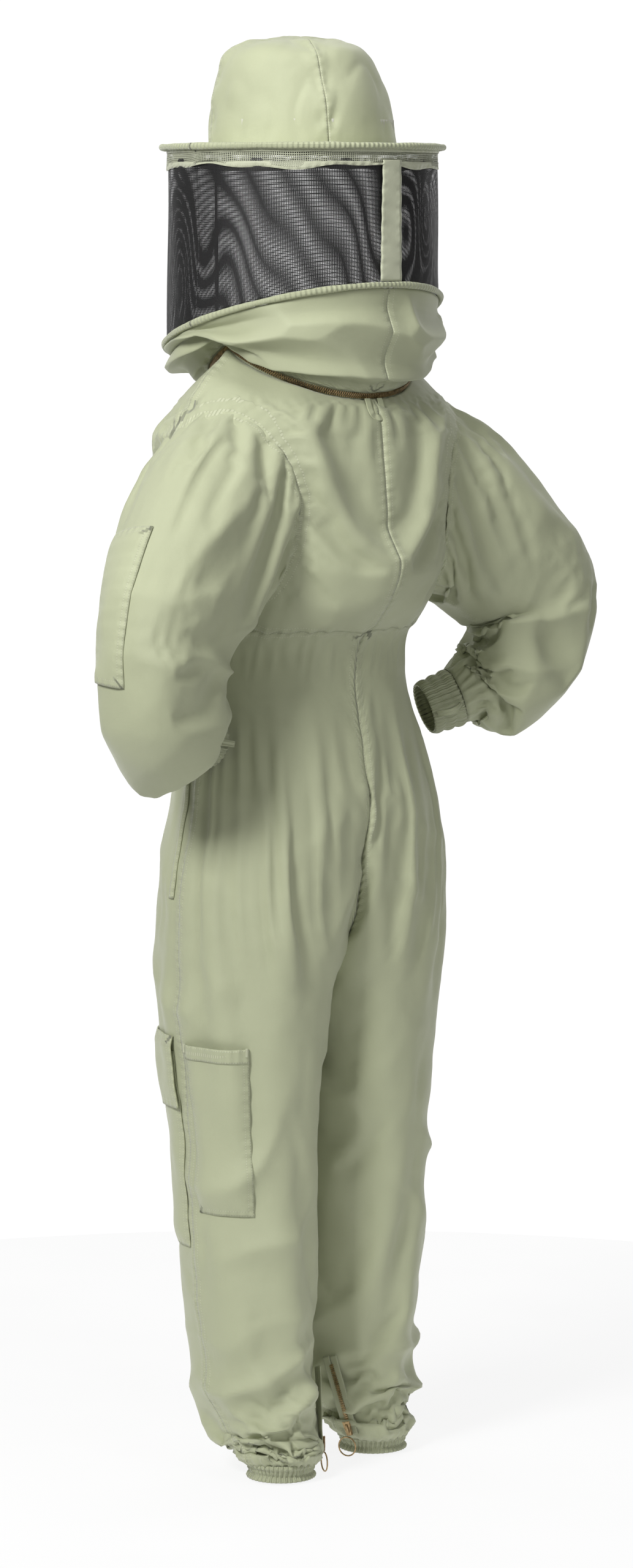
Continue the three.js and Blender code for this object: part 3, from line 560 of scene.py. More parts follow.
def sleeve_tube(side, out=0.0, columns=SLEEVE_COLUMNS, rows=SLEEVE_ROWS):
    """Grid of a sleeve: rows from the shoulder down, columns round from the outside of the bend."""
    at, _, tall, deep, r_tall, r_deep, _ = sleeve_frames(side, rows)
    turn = np.linspace(0, 2 * math.pi, columns)
    ring = (tall[:, None] * ((r_tall + out)[:, None] * np.cos(turn))[..., None]
            + deep[:, None] * ((r_deep + out)[:, None] * np.sin(turn))[..., None])
    points = at[:, None] + ring
    points[..., 0] *= SIDES[side]
    return points


def depth_in_body(points, side):
    """How far points of the right height are inside the bodice, in millimetres; minus is outside."""
    x, y, z = points[..., 0] * SIDES[side], points[..., 1], points[..., 2]
    low = np.minimum(z, SHOULDER_Z)
    cx, cy, ax, ay = body_row(low)
    rise = np.clip((z - SHOULDER_Z) / (NECK_Z - NECK_DROP * 0.3 - SHOULDER_Z), 0, 1)
    ax = ax * (1 - rise) + NECK_RADIUS * rise
    ay = ay * (1 - rise) + NECK_RADIUS * math.cos(NECK_TILT) * rise
    cy = cy * (1 - rise) + NECK_Y * rise
    share = np.hypot((x - cx) / ax, (y - cy) / ay)
    return (1 - share) * np.minimum(ax, ay)


def sleeve_starts(tube, side):
    """For each column, the row where the sleeve comes out of the bodice, as a fraction."""
    depth = depth_in_body(tube, side)
    starts = []
    for c in range(tube.shape[1]):
        inside = np.nonzero(depth[: SLEEVE_ROWS // 2, c] > 0)[0]
        k = int(inside[-1]) if len(inside) else 0
        a, b = depth[k, c], depth[k + 1, c]
        starts.append(k + (a / (a - b) if a > 0 else 0))
    starts = np.array(starts)
    kernel = np.hanning(9)
    kernel /= kernel.sum()
    ring = np.concatenate([starts[-5:-1], starts, starts[1:5]])
    return np.convolve(ring, kernel, "valid")


def trimmed_sleeve(side):
    """The sleeve's grid from its armhole to the cuff, and the armhole's points."""
    tube = sleeve_tube(side)
    starts = sleeve_starts(tube, side)
    rows = np.arange(SLEEVE_ROWS)
    share = np.linspace(0, 1, SLEEVE_ROWS)
    points = np.empty_like(tube)
    for c, start in enumerate(starts):
        place = start + (SLEEVE_ROWS - 1 - start) * share
        for k in range(3):
            points[:, c, k] = np.interp(place, rows, tube[:, c, k])
    points[:, -1] = points[:, 0]
    return points


def sleeve_depth(points, side):
    """How far points lie inside the upper sleeve, in millimetres; minus is outside."""
    at, along, tall, deep, r_tall, r_deep, _ = sleeve_frames(side, 40)
    p = points * vec(SIDES[side], 1, 1)
    best = np.full(points.shape[:-1], -1e3)
    for k in range(24):
        off = p - at[k]
        near = np.abs(off @ along[k]) < 9
        share = np.hypot(off @ tall[k] / r_tall[k], off @ deep[k] / r_deep[k])
        depth = (1 - share) * min(r_tall[k], r_deep[k])
        best = np.where(near, np.maximum(best, depth), best)
    return best


# ---- cloth simulation ----
COLLIDER_INSET = 13.0
NARROW = 0.0101  # strips below this width make lay return early
FAR = 9.0  # metres from any seam, so no stitches
MOST_SLACK = 0.45


def goal_weights(z):
    """How firmly the body's cloth is held: at the neck, the elastic waist, the hems and the zips."""
    waist = 0.45 * np.exp(-((z - 990) / 22) ** 2)
    neck = np.clip((z - 1262) / 25, 0, 1)
    hem = np.clip((30 - z) / 16, 0, 1)
    goal = np.maximum.reduce([waist, neck, hem, 0.012 + 0 * z])
    zip_rows = np.clip((z - 840) / 12, 0, 1)
    goal[:, -1:] = np.maximum(goal[:, -1:], zip_rows[:, -1:])
    goal[:, -2:-1] = np.maximum(goal[:, -2:-1], 0.6 * zip_rows[:, -2:-1])
    return np.clip(goal, 0, 1)


def body_slack(z):
    """How much larger the body's cloth is than its shape: most where elastic gathers it."""
    ankle = 0.07 * np.clip((190 - z) / 150, 0, 1)
    waist = 0.01 * np.exp(-((z - 1006) / 30) ** 2)
    back = 0.012 * np.exp(-((z - 1120) / 70) ** 2)
    return sizes().slack + ankle + waist + back


def soft_noise(points, scale, seed):
    """Smooth noise from sums of waves, the same on every run."""
    rng = np.random.default_rng(seed)
    total = np.zeros(points.shape[:-1])
    for _ in range(14):
        way = rng.normal(size=3)
        way /= np.linalg.norm(way)
        total += np.sin(points @ way * (2 * math.pi / scale) * rng.uniform(0.6, 1.6) + rng.uniform(0, 6.28))
    return total / 14


class ClothMesh:
    """Grids gathered into one mesh whose shared edges are welded."""

    def __init__(self):
        self.points, self.slack, self.goal, self.faces = [], [], [], []
        self.index = {}

    def add_grid(self, key, points, slack, goal, round_u=False):
        base = len(self.points)
        rows, columns = points.shape[:2]
        ids = np.arange(rows * columns).reshape(rows, columns) + base
        self.points += list(points.reshape(-1, 3))
        self.slack += list(slack.reshape(-1))
        self.goal += list(goal.reshape(-1))
        if round_u:
            ids[:, -1] = ids[:, 0]
        self.index[key] = ids

    def weld(self, ids, other):
        swap = dict(zip(ids.tolist(), other.tolist()))
        for grid in self.index.values():
            flat = grid.reshape(-1)
            for k, value in enumerate(flat.tolist()):
                if value in swap:
                    flat[k] = swap[value]

    def close(self, skips):
        for key, grid in self.index.items():
            skip = skips.get(key)
            rows, columns = grid.shape
            for r in range(rows - 1):
                for c in range(columns - 1):
                    if skip is not None and skip[r, c]:
                        continue
                    face = [grid[r, c], grid[r, c + 1], grid[r + 1, c + 1], grid[r + 1, c]]
                    if key.endswith("right"):
                        face.reverse()
                    clean = [v for k, v in enumerate(face) if v not in face[:k]]
                    if len(clean) > 2:
                        self.faces.append(clean)


def cell_mask(depth, limit):
    """Cells of a grid whose corners all lie deeper than a limit."""
    deep = depth > limit
    return deep[:-1, :-1] & deep[1:, :-1] & deep[:-1, 1:] & deep[1:, 1:]


def build_cloth():
    cloth = ClothMesh()
    skips = {}
    for side in SIDES:
        points = half_body(side)
        z = points[..., 2]
        depth = sleeve_depth(points, side)
        rim = np.exp(-(np.minimum(0, depth + 2) / 9) ** 2)
        goal = np.maximum(goal_weights(z), np.clip(rim, 0, 1))
        cloth.add_grid("body_" + side, points, body_slack(z), goal)
        skips["body_" + side] = cell_mask(depth, 9)
    left, right = cloth.index["body_left"], cloth.index["body_right"]
    cloth.weld(right[CROTCH_ROW:, 0], left[CROTCH_ROW:, 0])
    cloth.weld(right[CROTCH_ROW:, -1], left[CROTCH_ROW:, -1])
    for grid in (left, right):
        cloth.weld(grid[:CROTCH_ROW, -1], grid[:CROTCH_ROW, 0])
    for side in SIDES:
        points = trimmed_sleeve(side)
        share = np.linspace(0, 1, SLEEVE_ROWS)
        hold = np.maximum(np.clip(1 - share / 0.03, 0, 1), np.clip((share - 0.955) / 0.03, 0, 1))
        goal = np.repeat(np.maximum(hold, 0.05)[:, None], SLEEVE_COLUMNS, 1)
        slack = sizes().slack + 0.01 + 0.10 * np.clip((share - 0.75) / 0.2, 0, 1)
        cloth.add_grid("sleeve_" + side, points, np.repeat(slack[:, None], SLEEVE_COLUMNS, 1), goal, True)
    cloth.close(skips)
    return cloth, skips


def collider_mesh():
    points, faces = [], []
    for side in SIDES:
        for grid in (half_body(side, -COLLIDER_INSET, 31, BODY_Z[::4], 5),
                     sleeve_tube(side, -COLLIDER_INSET - 6, 24, 30)):
            rows, columns = grid.shape[:2]
            r, c = rows // 2, columns // 2
            middle, spot = grid.mean(1)[r], grid[r, c]
            normal = np.cross(grid[r, c + 1] - spot, grid[r + 1, c] - spot)
            turn = 1 if normal @ (spot - middle) > 0 else -1
            faces += [tuple(k + len(points) for k in f)[::turn] for f in grid_faces(rows, columns)]
            points += list(grid.reshape(-1, 3))
    return mesh_object("mannequin", points, faces)


def simulate(cloth):
    """Lets the slack cloth fall and crease over a hidden body, and gives its points."""
    start = np.array(cloth.points)
    start = start + soft_noise(start, 110, 7)[:, None] * vec(7, 7, 2)
    made = mesh_object("falling_cloth", start, cloth.faces)
    for name, values in (("held", np.array(cloth.goal)), ("tight", 1 - np.array(cloth.slack) / MOST_SLACK)):
        group = made.vertex_groups.new(name=name)
        rounded = np.round(values, 3)
        for level in np.unique(rounded):
            group.add(np.nonzero(rounded == level)[0].tolist(), float(level), "REPLACE")
    mannequin = collider_mesh()
    mannequin.modifiers.new("Collision", "COLLISION")
    mannequin.collision.thickness_outer = 0.002
    mannequin.collision.cloth_friction = 12
    modifier = made.modifiers.new("Cloth", "CLOTH")
    settings = modifier.settings
    settings.quality = 5
    settings.mass = 0.25
    settings.tension_stiffness = 18
    settings.compression_stiffness = 18
    settings.shear_stiffness = 6
    settings.bending_stiffness = 5.0
    settings.air_damping = 2.0
    settings.tension_damping = 12
    settings.compression_damping = 12
    settings.bending_damping = 0.8
    settings.vertex_group_mass = "held"
    settings.pin_stiffness = 6
    settings.use_pressure = True
    settings.uniform_pressure_force = 0.07
    # a negative shrink lets the cloth grow
    settings.vertex_group_shrink = "tight"
    settings.shrink_min = -MOST_SLACK
    settings.shrink_max = 0.0
    modifier.collision_settings.use_collision = True
    modifier.collision_settings.distance_min = 0.003
    modifier.collision_settings.collision_quality = 2
    scene = bpy.context.scene
    last = sizes().frames
    modifier.point_cache.frame_start = 1
    modifier.point_cache.frame_end = last
    for step in range(1, last + 1):
        scene.frame_set(step)
    graph = bpy.context.evaluated_depsgraph_get()
    done = made.evaluated_get(graph).data
    points = np.empty(len(done.vertices) * 3)
    done.vertices.foreach_get("co", points)
    scene.frame_set(1)
    for old in (made, mannequin):
        bpy.data.objects.remove(old)
    return points.reshape(-1, 3) / MM


# ---- cloth made from the simulated grids ----
def resample(grid, factor=2):
    """A finer grid through the same points, by Catmull-Rom steps both ways."""
    def along_first(g):
        n = len(g)
        t = np.linspace(0, n - 1, (n - 1) * factor + 1)
        k = np.minimum(t.astype(int), n - 2)
        f = (t - k).reshape((-1,) + (1,) * (g.ndim - 1))
        padded = np.concatenate([2 * g[:1] - g[1:2], g, 2 * g[-1:] - g[-2:-1]])
        a, b, c, d = (padded[k + i] for i in range(4))
        return 0.5 * (2 * b + (c - a) * f + (2 * a - 5 * b + 4 * c - d) * f**2
                      + (3 * b - a - 3 * c + d) * f**3)
    fine = along_first(grid)
    return np.swapaxes(along_first(np.swapaxes(fine, 0, 1)), 0, 1)


def run_lengths(grid, axis):
    """Distance travelled along one direction of a grid."""
    steps = np.linalg.norm(np.diff(grid, axis=axis), axis=-1)
    pad = [(1, 0), (0, 0)] if axis == 0 else [(0, 0), (1, 0)]
    return np.pad(np.cumsum(steps, axis=axis), pad)


def travelled(path):
    """Distance along a path at each of its points."""
    return np.concatenate([[0], np.cumsum(np.linalg.norm(np.diff(path, axis=0), axis=1))])


def grid_normals(grid, round_u=False):
    if round_u:
        wide = np.concatenate([grid[:, -2:-1], grid, grid[:, 1:2]], 1)
        du = (wide[:, 2:] - wide[:, :-2])
    else:
        du = np.gradient(grid, axis=1)
    dv = np.gradient(grid, axis=0)
    normal = np.cross(du, dv)
    return normal / np.maximum(np.linalg.norm(normal, axis=-1, keepdims=True), 1e-9)


def outward(grid, normals):
    """The sign that turns a grid's normals away from its rows' middles."""
    middle = vec(0, 20, 0)
    away = (grid - middle) * vec(1, 1, 0)
    return 1.0 if (normals * away).sum() > 0 else -1.0


def seam_values(grid, borders):
    """For each point: distance to the nearest sewn border and place along it, in metres."""
    u, v = run_lengths(grid, 1), run_lengths(grid, 0)
    far = 1e4
    options = []
    if "low_u" in borders:
        options.append((u, v))
    if "high_u" in borders:
        options.append((u[:, -1:] - u, v))
    if "low_v" in borders:
        options.append((v, u))
    if "high_v" in borders:
        options.append((v[-1:] - v, u))
    seam = np.full(u.shape, far)
    along = np.zeros(u.shape)
    for distance, place in options:
        closer = distance < seam
        seam = np.where(closer, distance, seam)
        along = np.where(closer, place, along)
    return seam * MM, along * MM


def write_maps(mesh, flat, seam, along, wrap=0.0):
    """Gives each vertex its flat lay, its distance from a seam and its place along it."""
    loops = np.empty(len(mesh.loops), int)
    mesh.loops.foreach_get("vertex_index", loops)
    flat = flat[loops]
    if wrap:
        # the closing column keeps its lay from the far edge
        across = flat.reshape(-1, 4, 2)[:, :, 0]
        closing = across.max(1) - across.min(1) > wrap / 2
        across[closing] += wrap * (across[closing] < wrap / 2)
    mesh.uv_layers.new(name="Cloth").data.foreach_set("uv", flat.ravel().astype(np.float32))
    for key, values in (("seam", seam), ("along", along)):
        layer = mesh.attributes.new(key, "FLOAT", "POINT")
        layer.data.foreach_set("value", values.astype(np.float32))


def cloth_object(name, grid, flat_u, flat_v, borders=(), skip=None, round_u=False, seam=None, wall=None,
                 centre=None):
    """A solid cloth piece from a grid of its outer face, with its stitching attributes and flat lay."""
    rows, columns = grid.shape[:2]
    if seam is None:
        seam, along = seam_values(grid, borders)
    else:
        seam, along = seam
    lay_u = np.linspace(0, flat_u, columns)[None, :] + 0 * seam
    lay_v = np.linspace(0, flat_v, rows)[:, None] + 0 * seam
    faces = []
    for r in range(rows - 1):
        for c in range(columns - 1):
            if skip is not None and skip[r, c]:
                continue
            last = 0 if round_u and c == columns - 2 else c + 1
            low, high = r * columns, (r + 1) * columns
            faces.append((low + c, low + last, high + last, high + c))
    used = np.zeros(rows * columns, bool)
    used[np.array(faces).ravel()] = True
    index = np.cumsum(used) - 1
    made = mesh_object(name, grid.reshape(-1, 3)[used], [[index[v] for v in f] for f in faces])
    flat = np.stack([lay_u.reshape(-1)[used], lay_v.reshape(-1)[used]], -1)
    write_maps(made.data, flat, seam.reshape(-1)[used], along.reshape(-1)[used], flat_u if round_u else 0)
    face_out(made, centre)
    solid = made.modifiers.new("Wall", "SOLIDIFY")
    solid.thickness = wall or sizes().cloth_wall
    solid.offset = -1
    solid.use_even_offset = False
    return apply_modifiers(made)


def lay(grid, skip=None):
    """Works out a sheet's flat size and cell areas from its own grid; nothing is kept from them."""
    across, tall = flat_size(grid)
    du = np.diff(grid, axis=1)[:-1]
    dv = np.diff(grid, axis=0)[:, :-1]
    cells = np.linalg.norm(np.cross(du, dv), axis=-1)
    if skip is not None:
        cells = cells[~skip]
    width, length = across * 1.02, tall * 1.02
    if min(width, length) < NARROW:
        return


def flat_size(grid):
    """Width and height of a grid laid flat, in metres."""
    return run_lengths(grid, 1)[:, -1].max() * MM, run_lengths(grid, 0)[-1].max() * MM


def sewn(name, grid, key, node, borders=(), body="suit", held="stretched", flat=None, skip=None, **shape):
    made = cloth_object(name, grid, *(flat or flat_size(grid)), borders, skip, **shape)
    finish_piece(made, material(key), body, [node] if node else [])
    lay(grid, skip)


def crease_noise(grid, scale, seed):
    """Ridged noise: narrow raised creases with wide hollows between them."""
    rough = soft_noise(grid, scale, seed)
    return 1 - np.minimum(1, np.hypot(rough, 0.025) * 4.5)


def ridges(phase, sharp):
    """Rounded ridges at the whole numbers of a phase, with wide hollows between."""
    return (1.1 - np.hypot(np.sin(math.pi * phase), 0.1)) ** sharp


def eased_waist(grid):
    """Rounds the step where the full bodice meets the gathered legs."""
    soft = grid.copy()
    for _ in range(60):
        soft[1:-1] = (soft[:-2] + 2 * soft[1:-1] + soft[2:]) / 4
    pull = 0.85 * np.exp(-(np.abs(np.arange(len(grid)) - 2 * WAIST_ROW) / 12) ** 2)
    return grid + (soft - grid) * pull[:, None, None] * vec(1, 1, 0)


def worn(grid, seam, along, amount=1.0, seed=1):
    """Adds small creases everywhere and puckers beside the raised, doubled seams."""
    normals = grid_normals(grid)
    normals = normals * outward(grid, normals)
    lift = soft_noise(grid, 95, seed) * 2.6 * amount
    lift = lift + (crease_noise(grid, 130, seed + 5) - 0.3) * 1.1 * amount
    lift = lift + soft_noise(grid, 30, seed + 9) * 0.7 * amount
    near = np.exp(-((seam / MM - 11) / 9) ** 2)
    lift = lift + near * np.sin(along / MM / 8.5 + 3 * soft_noise(grid, 90, seed + 2)) * 0.75
    lift = lift + 1.2 * np.exp(-(seam / MM / 9) ** 4)
    return grid + normals * lift[..., None]


SUIT = {}


def suit_grids():
    """The falling cloth's grids, simulated once and kept for every later piece."""
    if not SUIT:
        cloth, skips = build_cloth()
        points = simulate(cloth)
        start = np.array(cloth.points)
        for key, ids in cloth.index.items():
            SUIT[key] = points[ids]
            if key.startswith("sleeve"):
                SUIT[key] = lifted_back(SUIT[key], start[ids])
            SUIT["skip_" + key] = skips.get(key)
    return SUIT


def lifted_back(fallen, start):
    """Takes the sag out of a fallen sleeve but leaves its folds."""
    sag = fallen - start
    for _ in range(30):
        wide = np.concatenate([sag[:, -4:-1], sag, sag[:, 1:4]], 1)
        wide = np.concatenate([wide[:1]] * 2 + [wide] + [wide[-1:]] * 2)
        sag = sum(wide[a:a + len(sag), 3 + b:3 + b + sag.shape[1]] for a in range(5) for b in (-2, 0, 2)) / 15
    share = np.linspace(0, 1, len(start))[:, None, None]
    ends = np.clip(share / 0.12, 0, 1) * np.clip((1 - share) / 0.06, 0, 1)
    return fallen - 0.9 * ends * sag


def fine_skip(skip, factor=2):
    return None if skip is None else np.repeat(np.repeat(skip, factor, 0), factor, 1)


PANELS = {"back": (0, 30), "front": (30, 60)}


def body_panels():
    """Eight panels: leg and bodice, front and back, left and right."""
    grids = suit_grids()
    for side in SIDES:
        whole = bunched(eased_waist(resample(grids["body_" + side])), side)
        skip = fine_skip(grids["skip_body_" + side])
        arm = np.abs(sleeve_depth(whole, side))
        for part, (low, high) in PANELS.items():
            for level, (start, end) in (("leg", (0, WAIST_ROW)), ("bodice", (WAIST_ROW, len(whole) // 2))):
                rows = slice(2 * start, 2 * end + 1)
                columns = slice(2 * low, 2 * high + 1)
                grid = whole[rows, columns]
                borders = ["low_u", "high_u", "low_v" if level == "bodice" else "high_v"]
                seam, along = seam_values(grid, borders)
                if level == "bodice":
                    hole = arm[rows, columns] * MM
                    turn = np.arctan2(grid[..., 2] - 1146, grid[..., 1] - 62) * 0.1
                    along = np.where(hole < seam, turn, along)
                    seam = np.minimum(seam, hole)
                name = f"{level}_{part}_{side}"
                grid = worn(grid, seam, along, seed=11)
                cut = skip[2 * start:2 * end, 2 * low:2 * high]
                sewn(name + "_cloth", grid, "cloth", name, held="gathered", skip=cut, seam=(seam, along))


def bunched(grid, side):
    """Adds the folds that pile up on the ankle cuff and the slanting drags behind the knee."""
    z = grid[..., 2]
    cx, cy, _, _ = body_row(z)
    x = grid[..., 0] * SIDES[side] - cx
    y = grid[..., 1] - cy - stride_at(z, side)
    turn = np.arctan2(y, x)
    seed = 3 if side == "left" else 4
    wander = soft_noise(grid, 120, seed) * 40
    phase = (z + wander + 26 * np.sin(turn + seed) + 12 * np.sin(2 * turn)) / 54
    fold = ridges(phase, 1.2)
    reach = np.exp(-(np.clip(z - 80, -80, None) / 70) ** 2) * np.clip((z - HEM_Z) / 18, 0, 1)
    depth = (10 - 17 * fold) * reach * (0.65 + 0.35 * np.sin(turn * 1.5 + 2 * seed))
    # long drags run down and round from the seat to the knee, softer than the piled folds
    drag = (z * 0.55 + 62 * np.sin(turn + 0.4 * seed) + soft_noise(grid, 260, seed + 20) * 90) / 92
    ridge = ridges(drag, 2.0)
    zone = np.exp(-((z - 400) / 150) ** 2) + 0.5 * np.exp(-((z - 690) / 90) ** 2)
    depth = depth + (4 - 12 * ridge) * zone * (0.5 + 0.5 * np.sin(turn * 2 + z / 110 + seed))
    # the hem is drawn in to its elastic
    radius = np.hypot(x, y)
    depth = depth + 5 * np.clip((20 - z) / 8, 0, 1) + 1.6 * np.clip((34 - z) / 22, 0, 1) * np.sin(turn * 26)
    moved = grid.copy()
    moved[..., 0] -= depth * x / radius * SIDES[side]
    moved[..., 1] -= depth * y / radius
    # folds sag over the cuff
    moved[..., 2] -= 9 * np.exp(-((z - 30) / 20) ** 2) * (0.6 + 0.4 * np.sin(2 * turn + seed))
    return moved


def elbow_folds(grid, side):
    """Depth of the sleeve's folds: they fan out of the inside of the elbow and close in at the cuff."""
    rows, columns = grid.shape[:2]
    share = np.linspace(0, 1, rows)[:, None]
    turn = np.linspace(0, 2 * math.pi, columns)[None, :]
    inner = 0.5 - 0.5 * np.cos(turn)
    seed = 5 if side == "left" else 6
    wander = soft_noise(grid, 150, seed) * 0.05
    fan = (share - 0.62 + wander) * (9 - 5.5 * inner) + 0.22 * np.sin(turn + seed)
    crease = ridges(fan, 1.6)
    zone = np.exp(-((share - 0.64) / 0.17) ** 2) * (0.25 + 0.75 * inner)
    long = (turn * 2.2 + 3.4 * share + soft_noise(grid, 200, seed + 3) * 1.4) / math.pi
    drape = ridges(long, 2)
    upper = np.exp(-((share - 0.3) / 0.22) ** 2)
    cuff = np.clip((share - 0.86) / 0.12, 0, 1) * (0.5 + 0.5 * np.sin(turn * 17 + 2 * np.sin(turn * 3)))
    crumple = crease_noise(grid, 210, seed + 8) * zone
    depth = (8 - 15 * crease) * zone * (0.5 + 0.5 * inner) + (4 - 9 * crumple) * zone
    return depth + (2 - 7 * drape) * upper + 5 * cuff * np.clip((1 - share) / 0.03, 0, 1)


def sleeve_pieces():
    grids = suit_grids()
    for side in SIDES:
        grid = resample(grids["sleeve_" + side])
        grid[:, -1] = grid[:, 0]
        v = run_lengths(grid, 0)
        u = run_lengths(grid, 1)
        under = np.abs(u - u[:, -1:] * 0.5)
        seam = np.minimum(v + 0.6, under)
        along = np.where(under < v, v, u)
        name = "sleeve_" + side
        normals = grid_normals(grid, True)
        centre = grid.mean(1, keepdims=True)
        way = 1.0 if (normals * (grid - centre)).sum() > 0 else -1.0
        lift = -elbow_folds(grid, side) + soft_noise(grid, 80, 31) * 2.4
        lift = lift + (crease_noise(grid, 120, 36) - 0.3) * 1.3
        lift += soft_noise(grid, 28, 38) * 0.6
        lift += np.exp(-((seam - 11) / 9) ** 2) * np.sin(along / 8.5) * 0.7
        lift += 1.2 * np.exp(-(seam / 9) ** 4)
        grid = grid + normals * way * lift[..., None]
        grid[:, -1] = grid[:, 0]
        sewn(name + "_cloth", grid, "cloth", name, held="gathered",
             flat=(u[:, -1].max() * MM, v[-1].max() * MM), round_u=True, seam=(seam * MM, along * MM),
             centre=tuple(grid.mean((0, 1)) * MM))


# ---- pieces sewn on the cloth ----
TREE = {}


def suit_tree():
    """The cloth's outer face as one tree, to lay pockets and tapes on."""
    if not TREE:
        points, faces = [], []
        for made in bpy.data.objects:
            if made.type == "MESH" and made.name.endswith("_cloth"):
                mesh = made.data
                faces += [[v + len(points) for v in p.vertices] for p in mesh.polygons]
                points += [made.matrix_world @ v.co for v in mesh.vertices]
        TREE["all"] = BVHTree.FromPolygons(points, faces)
    return TREE["all"]


def blur(grid, times=2):
    for _ in range(times):
        padded = np.pad(grid, 1, mode="edge")
        grid = sum(padded[1 + a:padded.shape[0] - 1 + a, 1 + b:padded.shape[1] - 1 + b]
                   for a in (-1, 0, 1) for b in (-1, 0, 1)) / 9
    return grid


def laid_on(base, out, lift, soften=2, reach=70):
    """Moves a grid of points along its directions onto the cloth, then off it by a lift in millimetres."""
    tree = suit_tree()
    depth = np.zeros(base.shape[:2])
    for r in range(base.shape[0]):
        for c in range(base.shape[1]):
            start = Vector((base[r, c] + out[r, c] * reach) * MM)
            hit = tree.ray_cast(start, Vector(-out[r, c]), 2 * reach * MM)
            depth[r, c] = reach - hit[3] / MM if hit[0] else 0
    return base + out * (blur(depth, soften) + lift)[..., None]


def leg_grid(side, place, rows, columns):
    """Points and outward ways of a patch of the leg: place is from and to in degrees, low and high."""
    start, end, low, high = place
    angle = np.radians(np.linspace(start, end, columns))[None, :]
    z = np.linspace(low, high, rows)[:, None]
    base = body_point(angle, z, 0, side)
    out = unit(body_point(angle, z, 10, side) - base)
    return base, out


def soft_box(base, depth, edge):
    """The lift of a pocket's face: full in its middle, down to the cloth at its sides."""
    u, v = run_lengths(base, 1), run_lengths(base, 0)
    from_side = np.minimum(u, u[:, -1:] - u)
    ramp = np.clip(np.minimum(from_side, v) / edge, 0, 1)
    return depth * np.sin(ramp * math.pi / 2)


CARGO = (-54, -4, 314, 517)
THIGH = (12, 66, 268, 505)
FLAP = (10, 68, 436, 524)
HIP_BAG = (16, 56, 575, 715)


def cargo_pocket():
    base, out = leg_grid("left", CARGO, 60, 30)
    grid = laid_on(base, out, 0.0, 3)
    lift = 1.8 + soft_box(base, 6.5, 22) + soft_noise(base, 50, 51) * 1.5
    # the mouth stands a little off the leg, and the near edge is drawn in by its stitches
    rows = np.linspace(0, 1, 60)[:, None]
    lift = lift + 2.2 * np.clip((rows - 0.86) / 0.14, 0, 1) * np.sin(np.linspace(0, math.pi, 30))[None, :]
    pucker = np.sin(base[..., 2] / 5.2) * 0.9
    near = np.exp(-run_lengths(base, 1) / 7)
    lift = lift + pucker * near
    grid = grid + out * lift[..., None]
    sewn("cargo_pocket_face", grid, "pocket", "cargo_pocket", ("low_u", "high_u", "low_v"))
    hem = grid[-6:] + out[-6:] * 0.9
    sewn("cargo_pocket_hem", hem, "pocket", None, ("low_v", "high_v"))
    tack_pair("cargo_pocket_tacks", grid[-2, 1], grid[-2, -2], out[-2, 1], out[-2, -2])


def tack_pair(name, a, b, out_a, out_b):
    """Bar tacks: short dense rows of thread at a pocket's upper corners."""
    points, faces = [], []
    for at, out in ((a, out_a), (b, out_b)):
        across = unit(np.cross(vec(0, 0, 1), out))
        up = np.cross(out, across)
        for k in range(14):
            middle = at + up * (k * 0.75 - 5) + out * 2.1
            base = len(points)
            for du, dn in ((-1.6, 0), (-1.2, 0.45), (0, 0.6), (1.2, 0.45), (1.6, 0)):
                edge = middle + across * du + out * dn
                points += [edge - up * 0.3, edge + up * 0.3]
            for j in range(4):
                faces.append((base + 2 * j, base + 2 * j + 1, base + 2 * j + 3, base + 2 * j + 2))
    made = mesh_object(name, points, faces)
    finish_piece(made, material("thread"), "suit")


def thigh_pocket():
    base, out = leg_grid("left", THIGH, 60, 34)
    lift = 1.8 + soft_box(base, 4, 24) + soft_noise(base, 60, 61) * 1.6
    grid = laid_on(base, out, 0.0, 3) + out * lift[..., None]
    sewn("thigh_pocket_face", grid, "pocket", "thigh_pocket", ("low_u", "high_u", "low_v"))
    base, out = leg_grid("left", FLAP, 26, 36)
    lift = 8.0 + soft_noise(base, 45, 63) * 1.4
    grid = laid_on(base, out, 0.0, 3) + out * lift[..., None]
    # the upper edge comes down to the leg, where it is sewn
    top = np.clip((np.linspace(0, 1, 26)[:, None] - 0.86) / 0.14, 0, 1)
    grid = grid - out * (top * 5)[..., None]
    sewn("thigh_flap_cloth_face", grid, "pocket", "thigh_flap", ("low_u", "high_u", "low_v", "high_v"),
          body="thigh_flap", wall=0.002)


def hip_pockets():
    for side in SIDES:
        base, out = leg_grid(side, HIP_BAG, 24, 16)
        grid = laid_on(base, out, 0.0, 3) - out * (6.0 + soft_noise(base, 50, 71))[..., None]
        sewn(f"hip_pocket_bag_{side}", grid, "lining", f"hip_pocket_{side}", ("low_u", "high_u", "low_v"),
              wall=0.0022)
        # the slit's bound lips, on the outside of the leg
        base, out = leg_grid(side, (6, 10, 690, 842), 40, 3)
        grid = laid_on(base, out, 0.0, 2)
        grid = grid + out * (vec(1.2, 2.4, 1.2)[None, :, None])
        sewn(f"hip_pocket_lip_{side}", grid, "pocket", None, ("low_u", "high_u"))


def sleeve_patch(side, u_range, v_range, rows, columns):
    """A patch of the sleeve and the ways out of it; u is a share round from the outside of the bend."""
    at, _, tall, deep, r_tall, r_deep, _ = sleeve_frames(side, 200)
    turn = np.linspace(*u_range, columns)[None, :] * 2 * math.pi
    pick = (np.linspace(*v_range, rows) * 199).astype(int)
    out = (tall[pick][:, None] * np.cos(turn)[..., None] + deep[pick][:, None] * np.sin(turn)[..., None])
    base = at[pick][:, None] + (tall[pick][:, None] * (r_tall[pick][:, None] * np.cos(turn))[..., None]
                                + deep[pick][:, None] * (r_deep[pick][:, None] * np.sin(turn))[..., None])
    flip = vec(SIDES[side], 1, 1)
    return base * flip, out * flip


